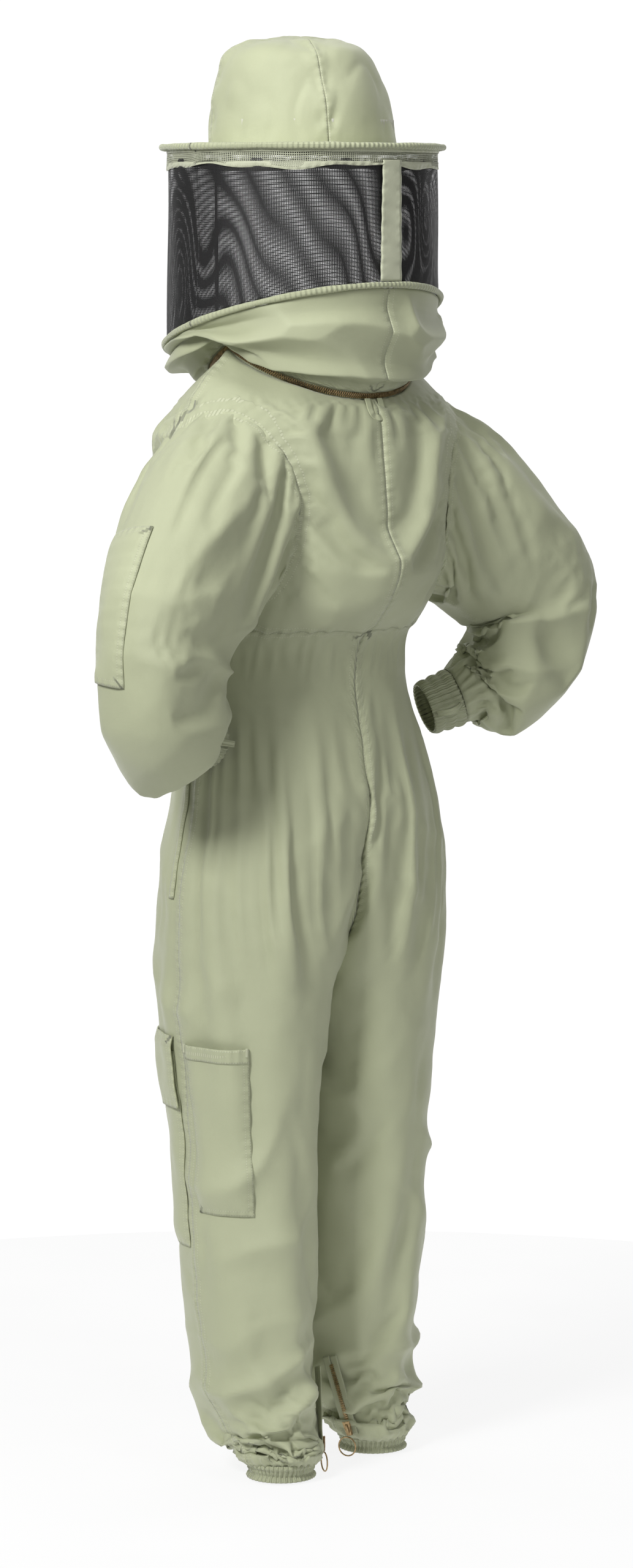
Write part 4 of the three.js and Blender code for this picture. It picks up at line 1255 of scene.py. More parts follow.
def sleeve_pocket():
    base, out = sleeve_patch("left", (-0.15, 0.05), (0.413, 0.703), 50, 30)
    grid = laid_on(base, out, 0.0, 3, 40)
    lift = 1.6 + soft_box(base, 2.0, 14) + soft_noise(base, 40, 81) * 0.8
    grid = grid + out * lift[..., None]
    centre = base.mean((0, 1)) - out.mean((0, 1)) * 60
    sewn("sleeve_pocket_face", grid, "pocket", "sleeve_pocket", ("low_u", "high_u", "low_v", "high_v"),
          centre=tuple(centre * MM))


def ribbed_ring(name, rows, radii, key, node, ribs=46, deep=1.5, wall=0.0022, seed=1):
    """A gathered elastic ring: rows of centre, across, other way and up, with pressed-in ribs."""
    columns = 4 * ribs
    turn = np.linspace(0, 2 * math.pi, columns + 1)
    rng = np.random.default_rng(seed)
    sway = np.interp(turn, np.linspace(0, 2 * math.pi, 17), np.concatenate([rng.normal(size=16), [0]]))
    grid = []
    for k, (centre, across, other) in enumerate(rows):
        share = k / (len(rows) - 1)
        press = 0.45 + 0.55 * abs(math.sin(math.pi * share * 3))
        rib = deep * np.sin(turn * ribs + sway * 0.8 + 0.6 * math.sin(share * 5)) * press
        puff = 1.8 * abs(math.sin(math.pi * share * 3))
        a, b = radii[k]
        grid.append(centre + across * ((a + rib + puff) * np.cos(turn))[:, None]
                    + other * ((b + rib + puff) * np.sin(turn))[:, None])
    grid = np.array(grid)
    grid[:, -1] = grid[:, 0]
    sewn(name, grid, key, node, held="gathered", round_u=True, wall=wall,
         centre=tuple(grid.mean((0, 1)) * MM), seam=(np.full(grid.shape[:2], FAR), run_lengths(grid, 1) * MM))


def elastic_cuffs():
    for side in SIDES:
        at, along, tall, deep, r_tall, r_deep, _ = sleeve_frames(side)
        flip = vec(SIDES[side], 1, 1)
        rows, radii = [], []
        for s in np.linspace(-1, CUFF_LENGTH, 19):
            rows.append(((at[-1] + along[-1] * s) * flip, tall[-1] * flip, deep[-1] * flip))
            radii.append((r_tall[-1] - 1.5 - 3 * s / CUFF_LENGTH, r_deep[-1] - 1.5 - 3 * s / CUFF_LENGTH))
        ribbed_ring(f"cuff_{side}_elastic", rows, radii, "elastic", f"cuff_{side}", 34, 1.2, seed=2)
        cx, cy, ax, ay = BODY_ROWS[0][1:]
        rows, radii = [], []
        for s in np.linspace(0, 1, 17):
            z = -8 + s * 20.5
            rows.append((vec(cx * SIDES[side], cy + stride_at(HEM_Z, side), z), vec(1, 0, 0), vec(0, 1, 0)))
            tight = 8 * math.sin(math.pi * min(1, s * 1.3)) if s < 0.77 else 4 * (1 - s)
            radii.append((ax - 7 - tight * 0.5, ay - 7 - tight * 0.5))
        ribbed_ring(f"ankle_cuff_{side}_elastic", rows, radii, "elastic", f"ankle_cuff_{side}", 44, 1.6,
                    seed=4)


def strap(name, path, across, width, thick, key, body, nodes=(), rounded=0.35):
    """A flat strap swept along a path, its edges softened."""
    path = np.asarray(path, float)
    along = unit(np.gradient(path, axis=0))
    across = np.broadcast_to(across, path.shape)
    across = unit(across - along * (across * along).sum(-1, keepdims=True))
    out = np.cross(along, across)
    w, t = width / 2, thick / 2
    ring = [(-w, -t * 0.3), (-w, t * 0.3), (-w + t * rounded, t), (w - t * rounded, t),
            (w, t * 0.3), (w, -t * 0.3), (w - t * rounded, -t), (-w + t * rounded, -t)]
    points = np.concatenate([[p + a * i + o * j for i, j in ring] for p, a, o in zip(path, across, out)])
    n = len(ring)
    faces = []
    for r in range(len(path) - 1):
        for k in range(n):
            d = (k + 1) % n
            faces.append((r * n + k, r * n + d, (r + 1) * n + d, (r + 1) * n + k))
    last = (len(path) - 1) * n
    faces += [tuple(range(n))[::-1], tuple(range(last, last + n))]
    made = mesh_object(name, points, faces, False)
    length = np.repeat(travelled(path) * MM, n)
    spread = np.tile(np.array([i for i, _ in ring]) * MM, len(path))
    write_maps(made.data, np.stack([spread, length], -1), width / 2 * MM - np.abs(spread), length)
    return finish_piece(made, material(key), body, nodes)


def thumb_loops():
    for side in SIDES:
        at, along, _, deep, _, r_deep, _ = sleeve_frames(side)
        flip = vec(SIDES[side], 1, 1)
        foot = at[-1] + along[-1] * CUFF_LENGTH / 2 + deep[-1] * (r_deep[-1] + 0.6)
        t = np.linspace(-1, 1, 25)
        path = foot + along[-1] * (t * 16)[:, None] + deep[-1] * (11.4 * (1 - t**2))[:, None]
        strap(f"thumb_loop_{side}_strap", path * flip, np.cross(along[-1], deep[-1]) * flip, 7, 1.4,
              "elastic", "suit", [f"thumb_loop_{side}"])


def waist_band():
    angle = np.radians(np.linspace(20, 160, 121))[None, :]
    z = np.linspace(WAIST_Z - 45, WAIST_Z - 15, 13)[:, None]
    _, cy, ax, ay = body_row(z)
    rib = 1.1 * np.sin(angle * 60) * np.abs(np.sin((z - 968) / 30 * math.pi * 3))
    inset = -6.5
    x, y = (ax + inset + rib) * np.cos(angle), cy + (ay + inset + rib) * np.sin(angle)
    grid = np.stack(np.broadcast_arrays(x, y, z), -1)
    sewn("waist_elastic_band", grid, "elastic", "waist_elastic", (), wall=0.002)


# ---- zips ----
def place_on(path, across, out, length, at):
    """The point at a distance along a path, with the ways across it, out of it and along it."""
    p, a, o = (np.array([np.interp(at, length, row[:, i]) for i in range(3)]) for row in (path, across, out))
    a, o = unit(a), unit(o)
    return p, a, o, np.cross(a, o)


def zip_teeth(name, path, across, out, pitch, width, tall, deep, body):
    """Two rows of brass teeth that mesh along a path in millimetres."""
    length = travelled(path)
    points, faces = [], []
    for k in range(int(length[-1] / pitch)):
        for sign in (-1, 1):
            p, a, o, way = place_on(path, across, out, length, (k + 0.5 + sign / 4) * pitch)
            base = len(points)
            inner, outer = -0.18 * width * sign, 0.5 * width * sign
            for w, d in ((inner, 0.62), (outer, 1.0)):
                for i, j in ((-1, -1), (1, -1), (1, 1), (-1, 1)):
                    points.append(p + a * w + way * (i * tall / 2 * d) + o * (j * deep / 2 * d))
            faces += [(base + i, base + (i + 1) % 4, base + 4 + (i + 1) % 4, base + 4 + i) for i in range(4)]
            faces += [(base + 3, base + 2, base + 1, base), (base + 4, base + 5, base + 6, base + 7)]
    made = mesh_object(name, points, faces, False)
    return finish_piece(made, material("brass"), body)


def zip_tape(name, path, across, out, low, high, body, node, thick=1.1):
    """The woven tape beside the teeth, from one distance across the path to another."""
    columns = 7
    share = np.linspace(low, high, columns)[None, :, None]
    grid = path[:, None] + across[:, None] * share
    fold = 0.3 * np.sin(run_lengths(grid, 0) / 6.0)
    grid = grid + out[:, None] * fold[..., None]
    sewn(name, grid, "zip_tape", node, ("low_u", "high_u"), body, wall=thick * MM,
         flat=((high - low) * MM, flat_size(grid)[1]), centre=tuple((path.mean(0) - out.mean(0) * 50) * MM))


def neck_zips():
    angle = np.radians(np.linspace(90.6, 449.4, 361)) - math.pi
    for part, way, body in (("lower", -1, "suit"), ("upper", 1, "hood")):
        tape_path = neck_point(angle, -0.3, way * 0.4)
        _, radial, up = neck_frame(angle)
        zip_tape(f"neck_zip_{part}_tape", tape_path, up * way, radial, 0.2, TAPE_REACH - 0.4, body,
                 f"neck_zip_{part}")
    angle = np.radians(np.linspace(95, 445, 1200)) - math.pi
    angle = angle[(np.degrees(angle) > -85) & (np.degrees(angle) < 265)]
    _, radial, up = neck_frame(angle)
    path = neck_point(angle, 0.4, 0)
    half_chain("neck_zip_lower_teeth", path, -up, radial, "suit")
    half_chain("neck_zip_upper_teeth", path, up, radial, "hood")


def half_chain(name, path, across, out, body, pitch=2.7):
    """One row of brass teeth on the edge of a tape that can come away from its partner."""
    length = travelled(path)
    shift = 0 if body == "suit" else pitch / 2
    points, faces = [], []
    for s in np.arange(pitch + shift, length[-1] - pitch, pitch):
        p, a, o, way = place_on(path, across, out, length, s)
        base = len(points)
        for w, tall, deep in ((-0.5, 0.8, 1.9), (1.4, 1.5, 2.3), (3.3, 1.3, 2.1)):
            for i, j in ((-1, -1), (1, -1), (1, 1), (-1, 1)):
                points.append(p + a * w + way * (i * tall / 2) + o * (j * deep / 2))
        for ring in (base, base + 4):
            faces += [(ring + i, ring + (i + 1) % 4, ring + 4 + (i + 1) % 4, ring + 4 + i) for i in range(4)]
        faces += [(base + 3, base + 2, base + 1, base), (base + 8, base + 9, base + 10, base + 11)]
    made = mesh_object(name, points, faces, False)
    return finish_piece(made, material("brass"), body)


def front_zips():
    z = np.linspace(852, 1236, 97)
    line = np.stack([0 * z, -113.2 + 0 * z, z], -1)
    out = np.broadcast_to(vec(0, -1, 0), line.shape)
    for side, sign in SIDES.items():
        across = np.broadcast_to(vec(sign, 0, 0), line.shape)
        zip_tape(f"front_zip_{side}_tape", line, across, out, 0.6, 13.8, "suit", f"front_zip_{side}")
        teeth = line + vec(0, -0.5, 0) + vec(0, 0, 1.35 * (sign > 0))
        half_chain(f"front_zip_{side}_teeth", teeth, across, out, "suit")


def ankle_line(side):
    angle = math.radians(200)
    low = body_point(angle, 16, 0, side)
    high = body_point(angle, 114, 0, side)
    along = unit(high - low)
    tangent = body_point(angle + 0.05, 16, 0, side) - low
    out = unit(np.cross(tangent, along))
    cx, cy, _, _ = body_row(16)
    if out @ (low - vec(cx * SIDES[side], cy + stride_at(16, side), low[2])) < 0:
        out = -out
    return low, high, along, out


def ankle_zips():
    for side in SIDES:
        low, high, along, out = ankle_line(side)
        across = np.cross(along, out)
        share = np.linspace(0, 1, 45)[:, None]
        line = low * (1 - share) + high * share + out * 2.6
        ways = np.broadcast_to(out, line.shape)
        for name, sign in (("near", 1), ("far", -1)):
            zip_tape(f"ankle_zip_{side}_tape_{name}", line, np.broadcast_to(across * sign, line.shape), ways,
                     0.5, 9.6, "suit", f"ankle_zip_{side}")
        path = line[:-4] + out * 0.4
        zip_teeth(f"ankle_zip_{side}_teeth", path, np.broadcast_to(across, path.shape), ways[:-4],
                  2.4, 5.4, 1.2, 2.0, "suit")


def bevelled(made, width, segments=2):
    bevel = made.modifiers.new("Edges", "BEVEL")
    bevel.width = width * MM
    bevel.segments = segments
    bevel.limit_method = "ANGLE"
    return apply_modifiers(made)


def slider(name, at, along, out, size, body, node):
    """A zip slider: two plates, a throat between them and the bridge that holds its pull."""
    wide, length, deep = size
    across = np.cross(along, out)
    points, faces = [], []

    def block(u0, u1, taper, v0, v1, n0, n1):
        base = len(points)
        for n in (n0, n1):
            for u, v, k in ((u0, v0, taper), (u1, v0, taper), (u1, v1, 1), (u0, v1, 1)):
                points.append(at + across * u * k + along * v + out * n)
        faces.extend([(base + 3, base + 2, base + 1, base), (base + 4, base + 5, base + 6, base + 7)])
        faces.extend([(base + i, base + (i + 1) % 4, base + 4 + (i + 1) % 4, base + 4 + i) for i in range(4)])

    w, h = wide / 2, length / 2
    block(-w, w, 0.66, -h, h, deep * 0.62, deep * 0.95)
    block(-w, w, 0.66, -h, h, 0, deep * 0.26)
    block(-w * 0.32, w * 0.32, 0.8, -h * 0.2, h * 0.95, deep * 0.26, deep * 0.62)
    made = mesh_object(name, points, faces, False)
    bevelled(made, 0.35)
    finish_piece(made, material("brass"), body, [node])
    arch = [(-0.62, 0), (-0.5, 0.38), (0, 0.5), (0.5, 0.38), (0.62, 0)]
    path = np.array([at + along * (h * a) + out * (deep * (0.9 + 0.5 * b)) for a, b in arch])
    strap(name + "_bridge", path, across, wide * 0.3, 0.7, "brass", body)


def pull_plate(name, at, along, out, size, body, node):
    """A flat pull tab with a rounded end, a window and raised rims."""
    wide, length, thick = size
    across = np.cross(along, out)
    half = wide / 2
    turn = np.linspace(math.pi, 2 * math.pi, 13)
    outline = [(-half * 0.8, 0.3), (-half * 0.8, -length * 0.25), (-half, -length * 0.4)]
    outline += [(half * math.cos(t), -length + half + half * math.sin(t)) for t in turn]
    outline += [(half, -length * 0.4), (half * 0.8, -length * 0.25), (half * 0.8, 0.3)]
    outline = np.array(outline)
    middle = vec(0, -length + half * 1.25)
    inner = middle + (outline - middle) * vec(0.45, 0.26)
    n = len(outline)
    points = []
    for level in (0, thick):
        for ring in (outline, inner):
            points += [at + across * x + along * y + out * level for x, y in ring]
    faces = []
    for k in range(n):
        d = (k + 1) % n
        faces += [(k, d, n + d, n + k), (2 * n + k, 3 * n + k, 3 * n + d, 2 * n + d),
                  (k, 2 * n + k, 2 * n + d, d), (n + k, n + d, 3 * n + d, 3 * n + k)]
    made = mesh_object(name, points, faces, False)
    bevelled(made, 0.3)
    return finish_piece(made, material("brass"), body, [node])


def ring_object(name, centre, across, up, radius, wire, body, nodes):
    turn = np.linspace(0, 2 * math.pi, 49)
    path = centre + across * (radius * np.cos(turn))[:, None] + up * (radius * np.sin(turn))[:, None]
    return tube(name, path, wire, "brass", body, nodes, closed=True)


def tube(name, path, radius, key, body, nodes=(), sides=10, closed=False, ripple=None):
    """A round tube along a path; ripple gives a change of radius for each point and facet."""
    path = np.asarray(path, float)
    if closed:
        path = path[:-1]
        along = unit(np.roll(path, -1, 0) - np.roll(path, 1, 0))
    else:
        along = unit(np.gradient(path, axis=0))
    middle = path.mean(0)
    out = path - middle
    out = unit(out - along * (out * along).sum(-1, keepdims=True))
    other = np.cross(along, out)
    turn = np.linspace(0, 2 * math.pi, sides, endpoint=False)
    size = radius + (0 if ripple is None else ripple(len(path), turn))
    ring = out[:, None] * np.cos(turn)[None, :, None] + other[:, None] * np.sin(turn)[None, :, None]
    grid = path[:, None] + ring * np.broadcast_to(size, ring.shape[:2])[..., None]
    rows = len(path)
    faces = []
    for r in range(rows if closed else rows - 1):
        s = (r + 1) % rows
        faces += [(r * sides + k, r * sides + (k + 1) % sides, s * sides + (k + 1) % sides, s * sides + k)
                  for k in range(sides)]
    if not closed:
        faces += [tuple(range(sides))[::-1], tuple(range((rows - 1) * sides, rows * sides))]
    made = mesh_object(name, grid.reshape(-1, 3), faces)
    length = np.repeat(travelled(path) * MM, sides)
    around = np.tile(turn * radius * MM, rows)
    write_maps(made.data, np.stack([length, around], -1), np.full(rows * sides, FAR), length)
    return finish_piece(made, material(key), body, nodes)


def sliders_and_pulls():
    up, front = vec(0, 0, 1), vec(0, -1, 0)
    # the front slider runs on the teeth, in front of the bodice
    face = -112 - 0.4 - 2.5 - 0.4
    slider("front_slider_brass", vec(0, face, 1226), up, front, (9, 14, 3), "front_slider", "front_slider")
    pull_plate("front_pull_tab", vec(0, face - 3.4, 1226), up, front, (6, 24, 1.4), "front_pull",
               "front_pull")
    for side, sign in SIDES.items():
        angle = math.radians(-(90 - sign * 5))
        _, radial, lift = neck_frame(np.array(angle))
        along = np.cross(lift, radial) * sign
        foot = neck_point(np.array(angle), 2.4, 0)
        slider(f"neck_slider_{side}_brass", foot, along, radial, (8, 12, 3), f"neck_slider_{side}",
               f"neck_slider_{side}")
        lean = unit(radial * 0.92 - lift * 0.39)
        pin = neck_point(np.array(angle), 2 + 3 + 1.2, 0)
        flat = unit(np.cross(along, lean))
        flat = -flat if flat[2] < 0 else flat
        pull_plate(f"neck_pull_{side}_tab", pin, -lean, flat, (6, 24, 1.4), f"neck_pull_{side}",
                   f"neck_pull_{side}")
        low, _, way, out = ankle_line(side)
        seat = low + way * 10 + out * (1.6 + 2.2 + 0.4)
        slider(f"ankle_slider_{side}_brass", seat, way, out, (10, 18, 3.4), f"ankle_slider_{side}",
               f"ankle_slider_{side}")
        hang = seat - up * (9 + 0.4 + 0.9 + 11.6) + out * 3.4
        flat = unit(out * vec(1, 1, 0))
        ring_object(f"ankle_ring_{side}_brass", hang, np.cross(up, flat), up, 11.6, 0.9, f"ankle_ring_{side}",
                    [f"ankle_ring_{side}"])


def hang_loop():
    slope, out = unit(vec(0, -0.42, 0.91)), unit(vec(0, 0.91, 0.42))
    top = neck_point(np.array(math.pi / 2), 2.6, -3.5) + out * 2.8
    half = 27 / 2 - 4
    turn = np.linspace(math.pi, 2 * math.pi, 19)
    line = [(-half, -0.2), (-half, -7)] + [(half * math.cos(t), -29 + 13.5 + 9.5 * math.sin(t)) for t in turn]
    line += [(half, -7), (half, -0.2)]
    path = np.array([top + vec(1, 0, 0) * x + slope * y for x, y in line])
    strap("hang_loop_strap", path, np.cross(unit(np.gradient(path, axis=0)), out), 7.4, 1.5, "pocket",
          "hang_loop", ["hang_loop"])


# ---- hood ----
RING_COLUMNS = 361


def ring_grid(outline, columns, start=0.0, end=2 * math.pi):
    """A grid turned round the hood's axis: outline is rows of radius and height, low row first."""
    turn = np.linspace(start, end, columns)
    outline = np.asarray(outline, float)
    return np.stack([outline[:, :1] * np.cos(turn), HOOD_Y + outline[:, :1] * np.sin(turn),
                     outline[:, 1:] + 0 * turn], -1)


GORE_FLAT = (0.178, 0.19)  # one gore of the crown, cut flat
DOME = [(1, 0), (1.0, 0.18), (0.995, 0.34), (0.975, 0.52), (0.93, 0.68), (0.86, 0.82), (0.76, 0.905),
        (0.62, 0.955), (0.46, 0.98), (0.3, 0.993), (0.14, 0.999), (0.018, 1.0)]


# where the crown is dented: x, y from its axis, height, size and depth
CROWN_DENTS = [
    (70, 78, 1652, 26, 4.2), (18, 96, 1668, 20, 3.6), (-40, 84, 1650, 24, 3.0),
    (92, 38, 1630, 22, 3.2), (-70, 60, 1672, 20, 3.4), (48, 60, 1690, 18, 3.0),
    (0, 60, 1698, 22, -1.2), (-60, -70, 1655, 26, 3.6), (50, -84, 1650, 24, 3.4),
]


def dome_height(z):
    return np.clip((z - CROWN_Z) / CROWN_HEIGHT, 0, 1)


def crown():
    """Four gores of soft cloth with a few dents and puckers beside the seams."""
    outline = smooth_path(np.array([(a, 0, b, 0) for a, b in DOME], float), 60)[0][:, (0, 2)]
    names = ["left", "back", "right", "front"]
    for k, name in enumerate(names):
        start = math.radians(CROWN_TURN + 90 * (k - 1))
        grid = ring_grid(outline * vec(CROWN_RADIUS - 0.6, CROWN_HEIGHT - 0.6) + vec(0, CROWN_Z), 70,
                         start + 0.001, start + math.pi / 2 - 0.001)
        seam, along = seam_values(grid, ("low_u", "high_u"))
        normals = grid_normals(grid)
        away = grid - vec(0, HOOD_Y, CROWN_Z + 40)
        normals = normals * (1.0 if (normals * away).sum() > 0 else -1.0)
        x, y, z = grid[..., 0], grid[..., 1] - HOOD_Y, grid[..., 2]
        high = dome_height(z)
        # cloth with nothing under it sinks between the seams
        lift = -4.0 * soft_noise(grid, 105, 91) - 1.8 * crease_noise(grid, 85, 92)
        lift = lift - 2.2 * np.clip(high - 0.86, 0, 1) / 0.14 * (0.5 + 0.5 * np.sin(x / 34 + y / 51))
        for tx, ty, tz, size, deep in CROWN_DENTS:
            gap = (x - tx) ** 2 + (y - ty) ** 2 + ((z - tz) * 1.5) ** 2
            lift = lift - deep * np.exp(-gap / (2 * size**2))
        ease = np.clip((z - CROWN_Z) / 18, 0, 1)
        near = np.exp(-((seam / MM - 7) / 7) ** 2)
        lift = lift * ease + near * np.sin(along / MM / 7.5 + 3 * soft_noise(grid, 60, 95)) * 1.5
        lift = lift + 1.0 * np.exp(-(seam / MM / 5) ** 4)
        lift = np.minimum(lift, 1.6)
        # the crown narrows upwards and leans to the wearer's front left
        narrow = 0.10 * high**1.4
        grid = grid + normals * lift[..., None] - np.stack([x, y, 0 * z], -1) * narrow[..., None]
        grid = grid + vec(0.766, -0.643, 0) * (9 * high**1.5)[..., None]
        sewn(f"crown_{name}_cloth_gore", grid, "hat", f"crown_gore_{name}", (), "hood", "gathered", GORE_FLAT,
             seam=(seam, along), centre=(0, HOOD_Y * MM, (CROWN_Z + 40) * MM))


def wavy_ring(name, outline, key, node, ripple, wall=0.0016, borders=(), centre=None):
    """A ring of the hood's cloth, moved by a ripple and stitched along the borders named."""
    grid = ring_grid(outline, RING_COLUMNS)
    turn = np.linspace(0, 2 * math.pi, RING_COLUMNS)[None, :]
    if ripple is not None:
        moved = ripple(grid, turn)
        grid = grid + moved
        grid[:, -1] = grid[:, 0]
    u, v = run_lengths(grid, 1), run_lengths(grid, 0)
    seam = np.full(u.shape, FAR / MM)
    if "low_v" in borders:
        seam = np.minimum(seam, v)
    if "high_v" in borders:
        seam = np.minimum(seam, v[-1:] - v)
    sewn(name, grid, key, node, body="hood", round_u=True, seam=(seam * MM, u * MM), wall=wall,
         centre=centre)


def brim():
    """The brim: two layers held flat by rows of zigzag stitching, then its rolled wire edge."""
    inner, outer = CROWN_RADIUS + 0.6, BRIM_RADIUS - 2 * EDGE_ROLL - 0.5
    radii = np.linspace(inner, outer, 34)
    outline = np.stack([radii, np.full(34, BRIM_Z + 1.0)], -1)

    def ripple(grid, turn):
        share = np.linspace(0, 1, 34)[:, None]
        wave = 0.5 * np.sin(3 * turn + 0.6) + 0.35 * np.sin(7 * turn) * share
        quilt = 0.3 * np.cos(share * math.pi * 2 * 5)
        return np.stack([0 * wave, 0 * wave, wave * share - 0.4 * np.abs(quilt)], -1)

    wavy_ring("hat_brim_cloth_top", outline, "brim", "hat_brim", ripple, wall=0.0022,
              borders=("low_v", "high_v"), centre=(0, 0, BRIM_Z * MM - 1))
    turn = np.linspace(0, 2 * math.pi, RING_COLUMNS)

    def wrap(count, around):
        k = np.arange(count)[:, None] / count * 2 * math.pi
        rope = np.sin(k * 60 + around[None, :] * 2) * 0.08
        return rope + 0.35 * np.sin(k * 7 + 1) + 0.2 * np.sin(k * 19)

    radius = BRIM_RADIUS - EDGE_ROLL
    path = np.stack([radius * np.cos(turn), HOOD_Y + radius * np.sin(turn), np.full(RING_COLUMNS, BRIM_Z)], -1)
    tube("brim_binding_roll", path, EDGE_ROLL - 0.7, "roll", "hood", ["brim_binding", "brim_wire"], 18, True,
         wrap)
    path = hoop_point(turn, HOOP_RADIUS)
    tube("hoop_binding_roll", path, EDGE_ROLL - 0.7, "roll", "hood", ["hoop_binding", "hoop_wire"], 18, True,
         wrap)


def head_bands():
    def gathered(grid, turn):
        away = grid * vec(1, 1, 0) - vec(0, HOOD_Y, 0)
        return unit(away) * (0.7 * np.sin(turn * 90))[..., None]

    outline = [(CROWN_RADIUS - 5.2, z) for z in np.linspace(CROWN_Z + 2, CROWN_Z + 34, 9)]
    wavy_ring("sweatband_elastic", outline, "sweat", "sweatband", gathered, wall=0.0018)

    def hem_wave(grid, turn):
        share = np.linspace(1, 0, len(grid))[:, None]
        away = unit(grid * vec(1, 1, 0) - vec(0, HOOD_Y, 0))
        sway = 1.6 * np.sin(9 * turn + 0.5) + 0.9 * np.sin(17 * turn + 2) + 0.5 * np.sin(31 * turn)
        drop = share * (2.6 * np.sin(5 * turn + 1) + 1.5 * np.sin(13 * turn)) - 2.2 * share
        return away * (sway * share * 0.9)[..., None] + vec(0, 0, 1) * drop[..., None]

    z = np.linspace(BAND_LOW + 1, BRIM_Z - 1.8, 12)
    wavy_ring("veil_band_mesh", np.stack([np.full(12, BAND_RADIUS + 1.2), z], -1), "mesh", "veil_band",
              hem_wave, wall=0.0006)
    low = np.linspace(BAND_LOW - 2.0, BAND_LOW + 2.0, 4)
    wavy_ring("veil_band_hem", np.stack([np.full(4, BAND_RADIUS + 1.6), low], -1), "tape", None, hem_wave,
              wall=0.0009, borders=("low_v",))
    high = np.linspace(BRIM_Z - 7, BRIM_Z - 1.6, 4)
    wavy_ring("veil_band_top_tape", np.stack([np.full(4, BAND_RADIUS + 1.9), high], -1), "tape", None, None,
              wall=0.0009, borders=("low_v",))


def net_point(angle, share, out):
    foot = hoop_point(angle, HOOP_RADIUS + out - EDGE_ROLL / 2, EDGE_ROLL - 0.6)
    head = np.stack([(BAND_RADIUS + out) * np.cos(angle), HOOD_Y + (BAND_RADIUS + out) * np.sin(angle),
                     np.full(np.shape(angle), BAND_LOW + 6.0)], -1)
    return foot * (1 - share) + head * share


def veil():
    turn = np.linspace(0, 2 * math.pi, 241)
    rows = []
    for share in np.linspace(0, 1, 60):
        sway = math.sin(math.pi * share)
        out = -1.4 * sway * (1 + np.sin(4 * turn + 1)) - 1.2 * sway * np.sin(11 * turn + share * 3)
        rows.append(net_point(turn, share, out))
    grid = np.array(rows)
    grid[:, -1] = grid[:, 0]
    flat = (flat_size(grid)[0], run_lengths(grid, 0).max() * MM)
    sewn("veil_net_mesh", grid, "net", "veil_net", (), "hood", "hung", flat, round_u=True, wall=0.0005,
         seam=(np.full(grid.shape[:2], FAR), run_lengths(grid, 1) * MM))
    share = np.linspace(0.0, 0.985, 50)
    half = np.linspace(16, 14, 50)
    middle = np.array([net_point(np.array(math.pi / 2), s, 3.0) for s in share])
    cross = np.linspace(-1, 1, 9)
    grid = middle[:, None] + vec(1, 0, 0) * (half[:, None] * cross)[..., None]
    bow = 0.8 * np.sin(share * 9)[:, None] * (1 - cross**2)
    bow = bow + 0.5 * np.sin(share * 40)[:, None] * np.abs(cross)
    grid = grid + vec(0, 1, 0) * bow[..., None]
    sewn("veil_back_tape_woven", grid, "tape", "veil_back_tape", ("low_u", "high_u"), body="hood", wall=0.001,
          centre=(0, 0, 1.44))
    # the net's narrow folded seam at the front
    angle = math.radians(-89.0)
    path = np.array([net_point(np.array(angle), s, 0.8) for s in np.linspace(0.0, 1, 40)])
    strap("veil_front_seam", path, vec(-math.sin(angle), math.cos(angle), 0), 5, 0.7, "net_seam", "hood")


def collar_point(angle, share, out=0.0):
    """A point of the collar, share from the zip at 0 to the hoop at 1; angle plus to the back."""
    foot = neck_point(angle, out + 1.3, np.full(np.shape(angle), TAPE_SHOWN))
    head = hoop_point(angle, HOOP_RADIUS - EDGE_ROLL / 2 + out, -EDGE_ROLL + 1.2)
    bow = (head + foot) / 2
    way = unit((head - vec(0, HOOD_Y, 0)) * vec(1, 1, 0))
    bow[..., 2] = foot[..., 2] + 4
    reach = np.hypot(bow[..., 0], bow[..., 1] - HOOD_Y)
    bow = bow + way * (HOOP_RADIUS + 9 - reach)[..., None]
    s = 1 - share
    return head * (1 - s) ** 2 + bow * (2 * s * (1 - s)) + foot * s**2


def collar():
    """The collar's two halves, full of soft folds that turn round the neck."""
    for side, sign in SIDES.items():
        angle = np.linspace(-math.pi / 2, math.pi / 2, 181)
        angle = angle if sign > 0 else math.pi - angle
        share = np.linspace(0, 1, 64)
        grid = np.array([collar_point(angle, s) for s in share])
        normals = grid_normals(grid)
        away = grid - vec(0, HOOD_Y, 1360)
        normals = normals * (1.0 if (normals * away).sum() > 0 else -1.0)
        s, a = share[:, None], angle[None, :]
        hold = np.clip(s / 0.12, 0, 1) * np.clip((1 - s) / 0.10, 0, 1)
        wander = soft_noise(grid, 170, 101) * 0.35
        lean = s * 2.3 + 0.42 * np.sin(a + 0.5) + 0.22 * np.sin(3 * a + 1) + wander
        big = ridges(lean, 1.2)
        lean = s * 1.2 + a * 1.1 + soft_noise(grid, 190, 105) * 0.8
        slant = ridges(lean, 1.6)
        pleat = np.sin(a * 30 + 3 * np.sin(a * 4)) * np.exp(-s * 9) * 1.7
        crumple = crease_noise(grid, 230, 107)
        lift = 13 * big + 9 * slant * np.clip(1.4 * s, 0, 1) + 4 * crumple - 13
        lift = hold * (lift + soft_noise(grid, 120, 103) * 6)
        lift = lift + pleat * (s > 0.02)
        lift = lift - 1.4 * np.exp(-(np.abs(np.abs(a - math.pi / 2) * 150) / 4) ** 2)
        lift = np.minimum(lift, 6)
        grid = grid + normals * lift[..., None]
        seam, along = seam_values(grid, ("low_u", "high_u", "low_v"))
        sewn(f"collar_{side}_folds", grid, "cloth", f"collar_{side}", (), "hood", "gathered",
             seam=(seam, along), centre=(0, 0, 1.36))


# ---- operators ----
class SuitOperator:
    bl_options = {"REGISTER", "UNDO"}
    steps = ()

    def execute(self, context):
        for step in self.steps:
            step()
        return {"FINISHED"}


class SUIT_OT_cloth(SuitOperator, bpy.types.Operator):
    """Drop the slack cloth over a hidden body and cut it into its panels and sleeves"""
    bl_idname = "suit.cloth"
    bl_label = "Panels and sleeves"
    steps = (body_panels, sleeve_pieces)


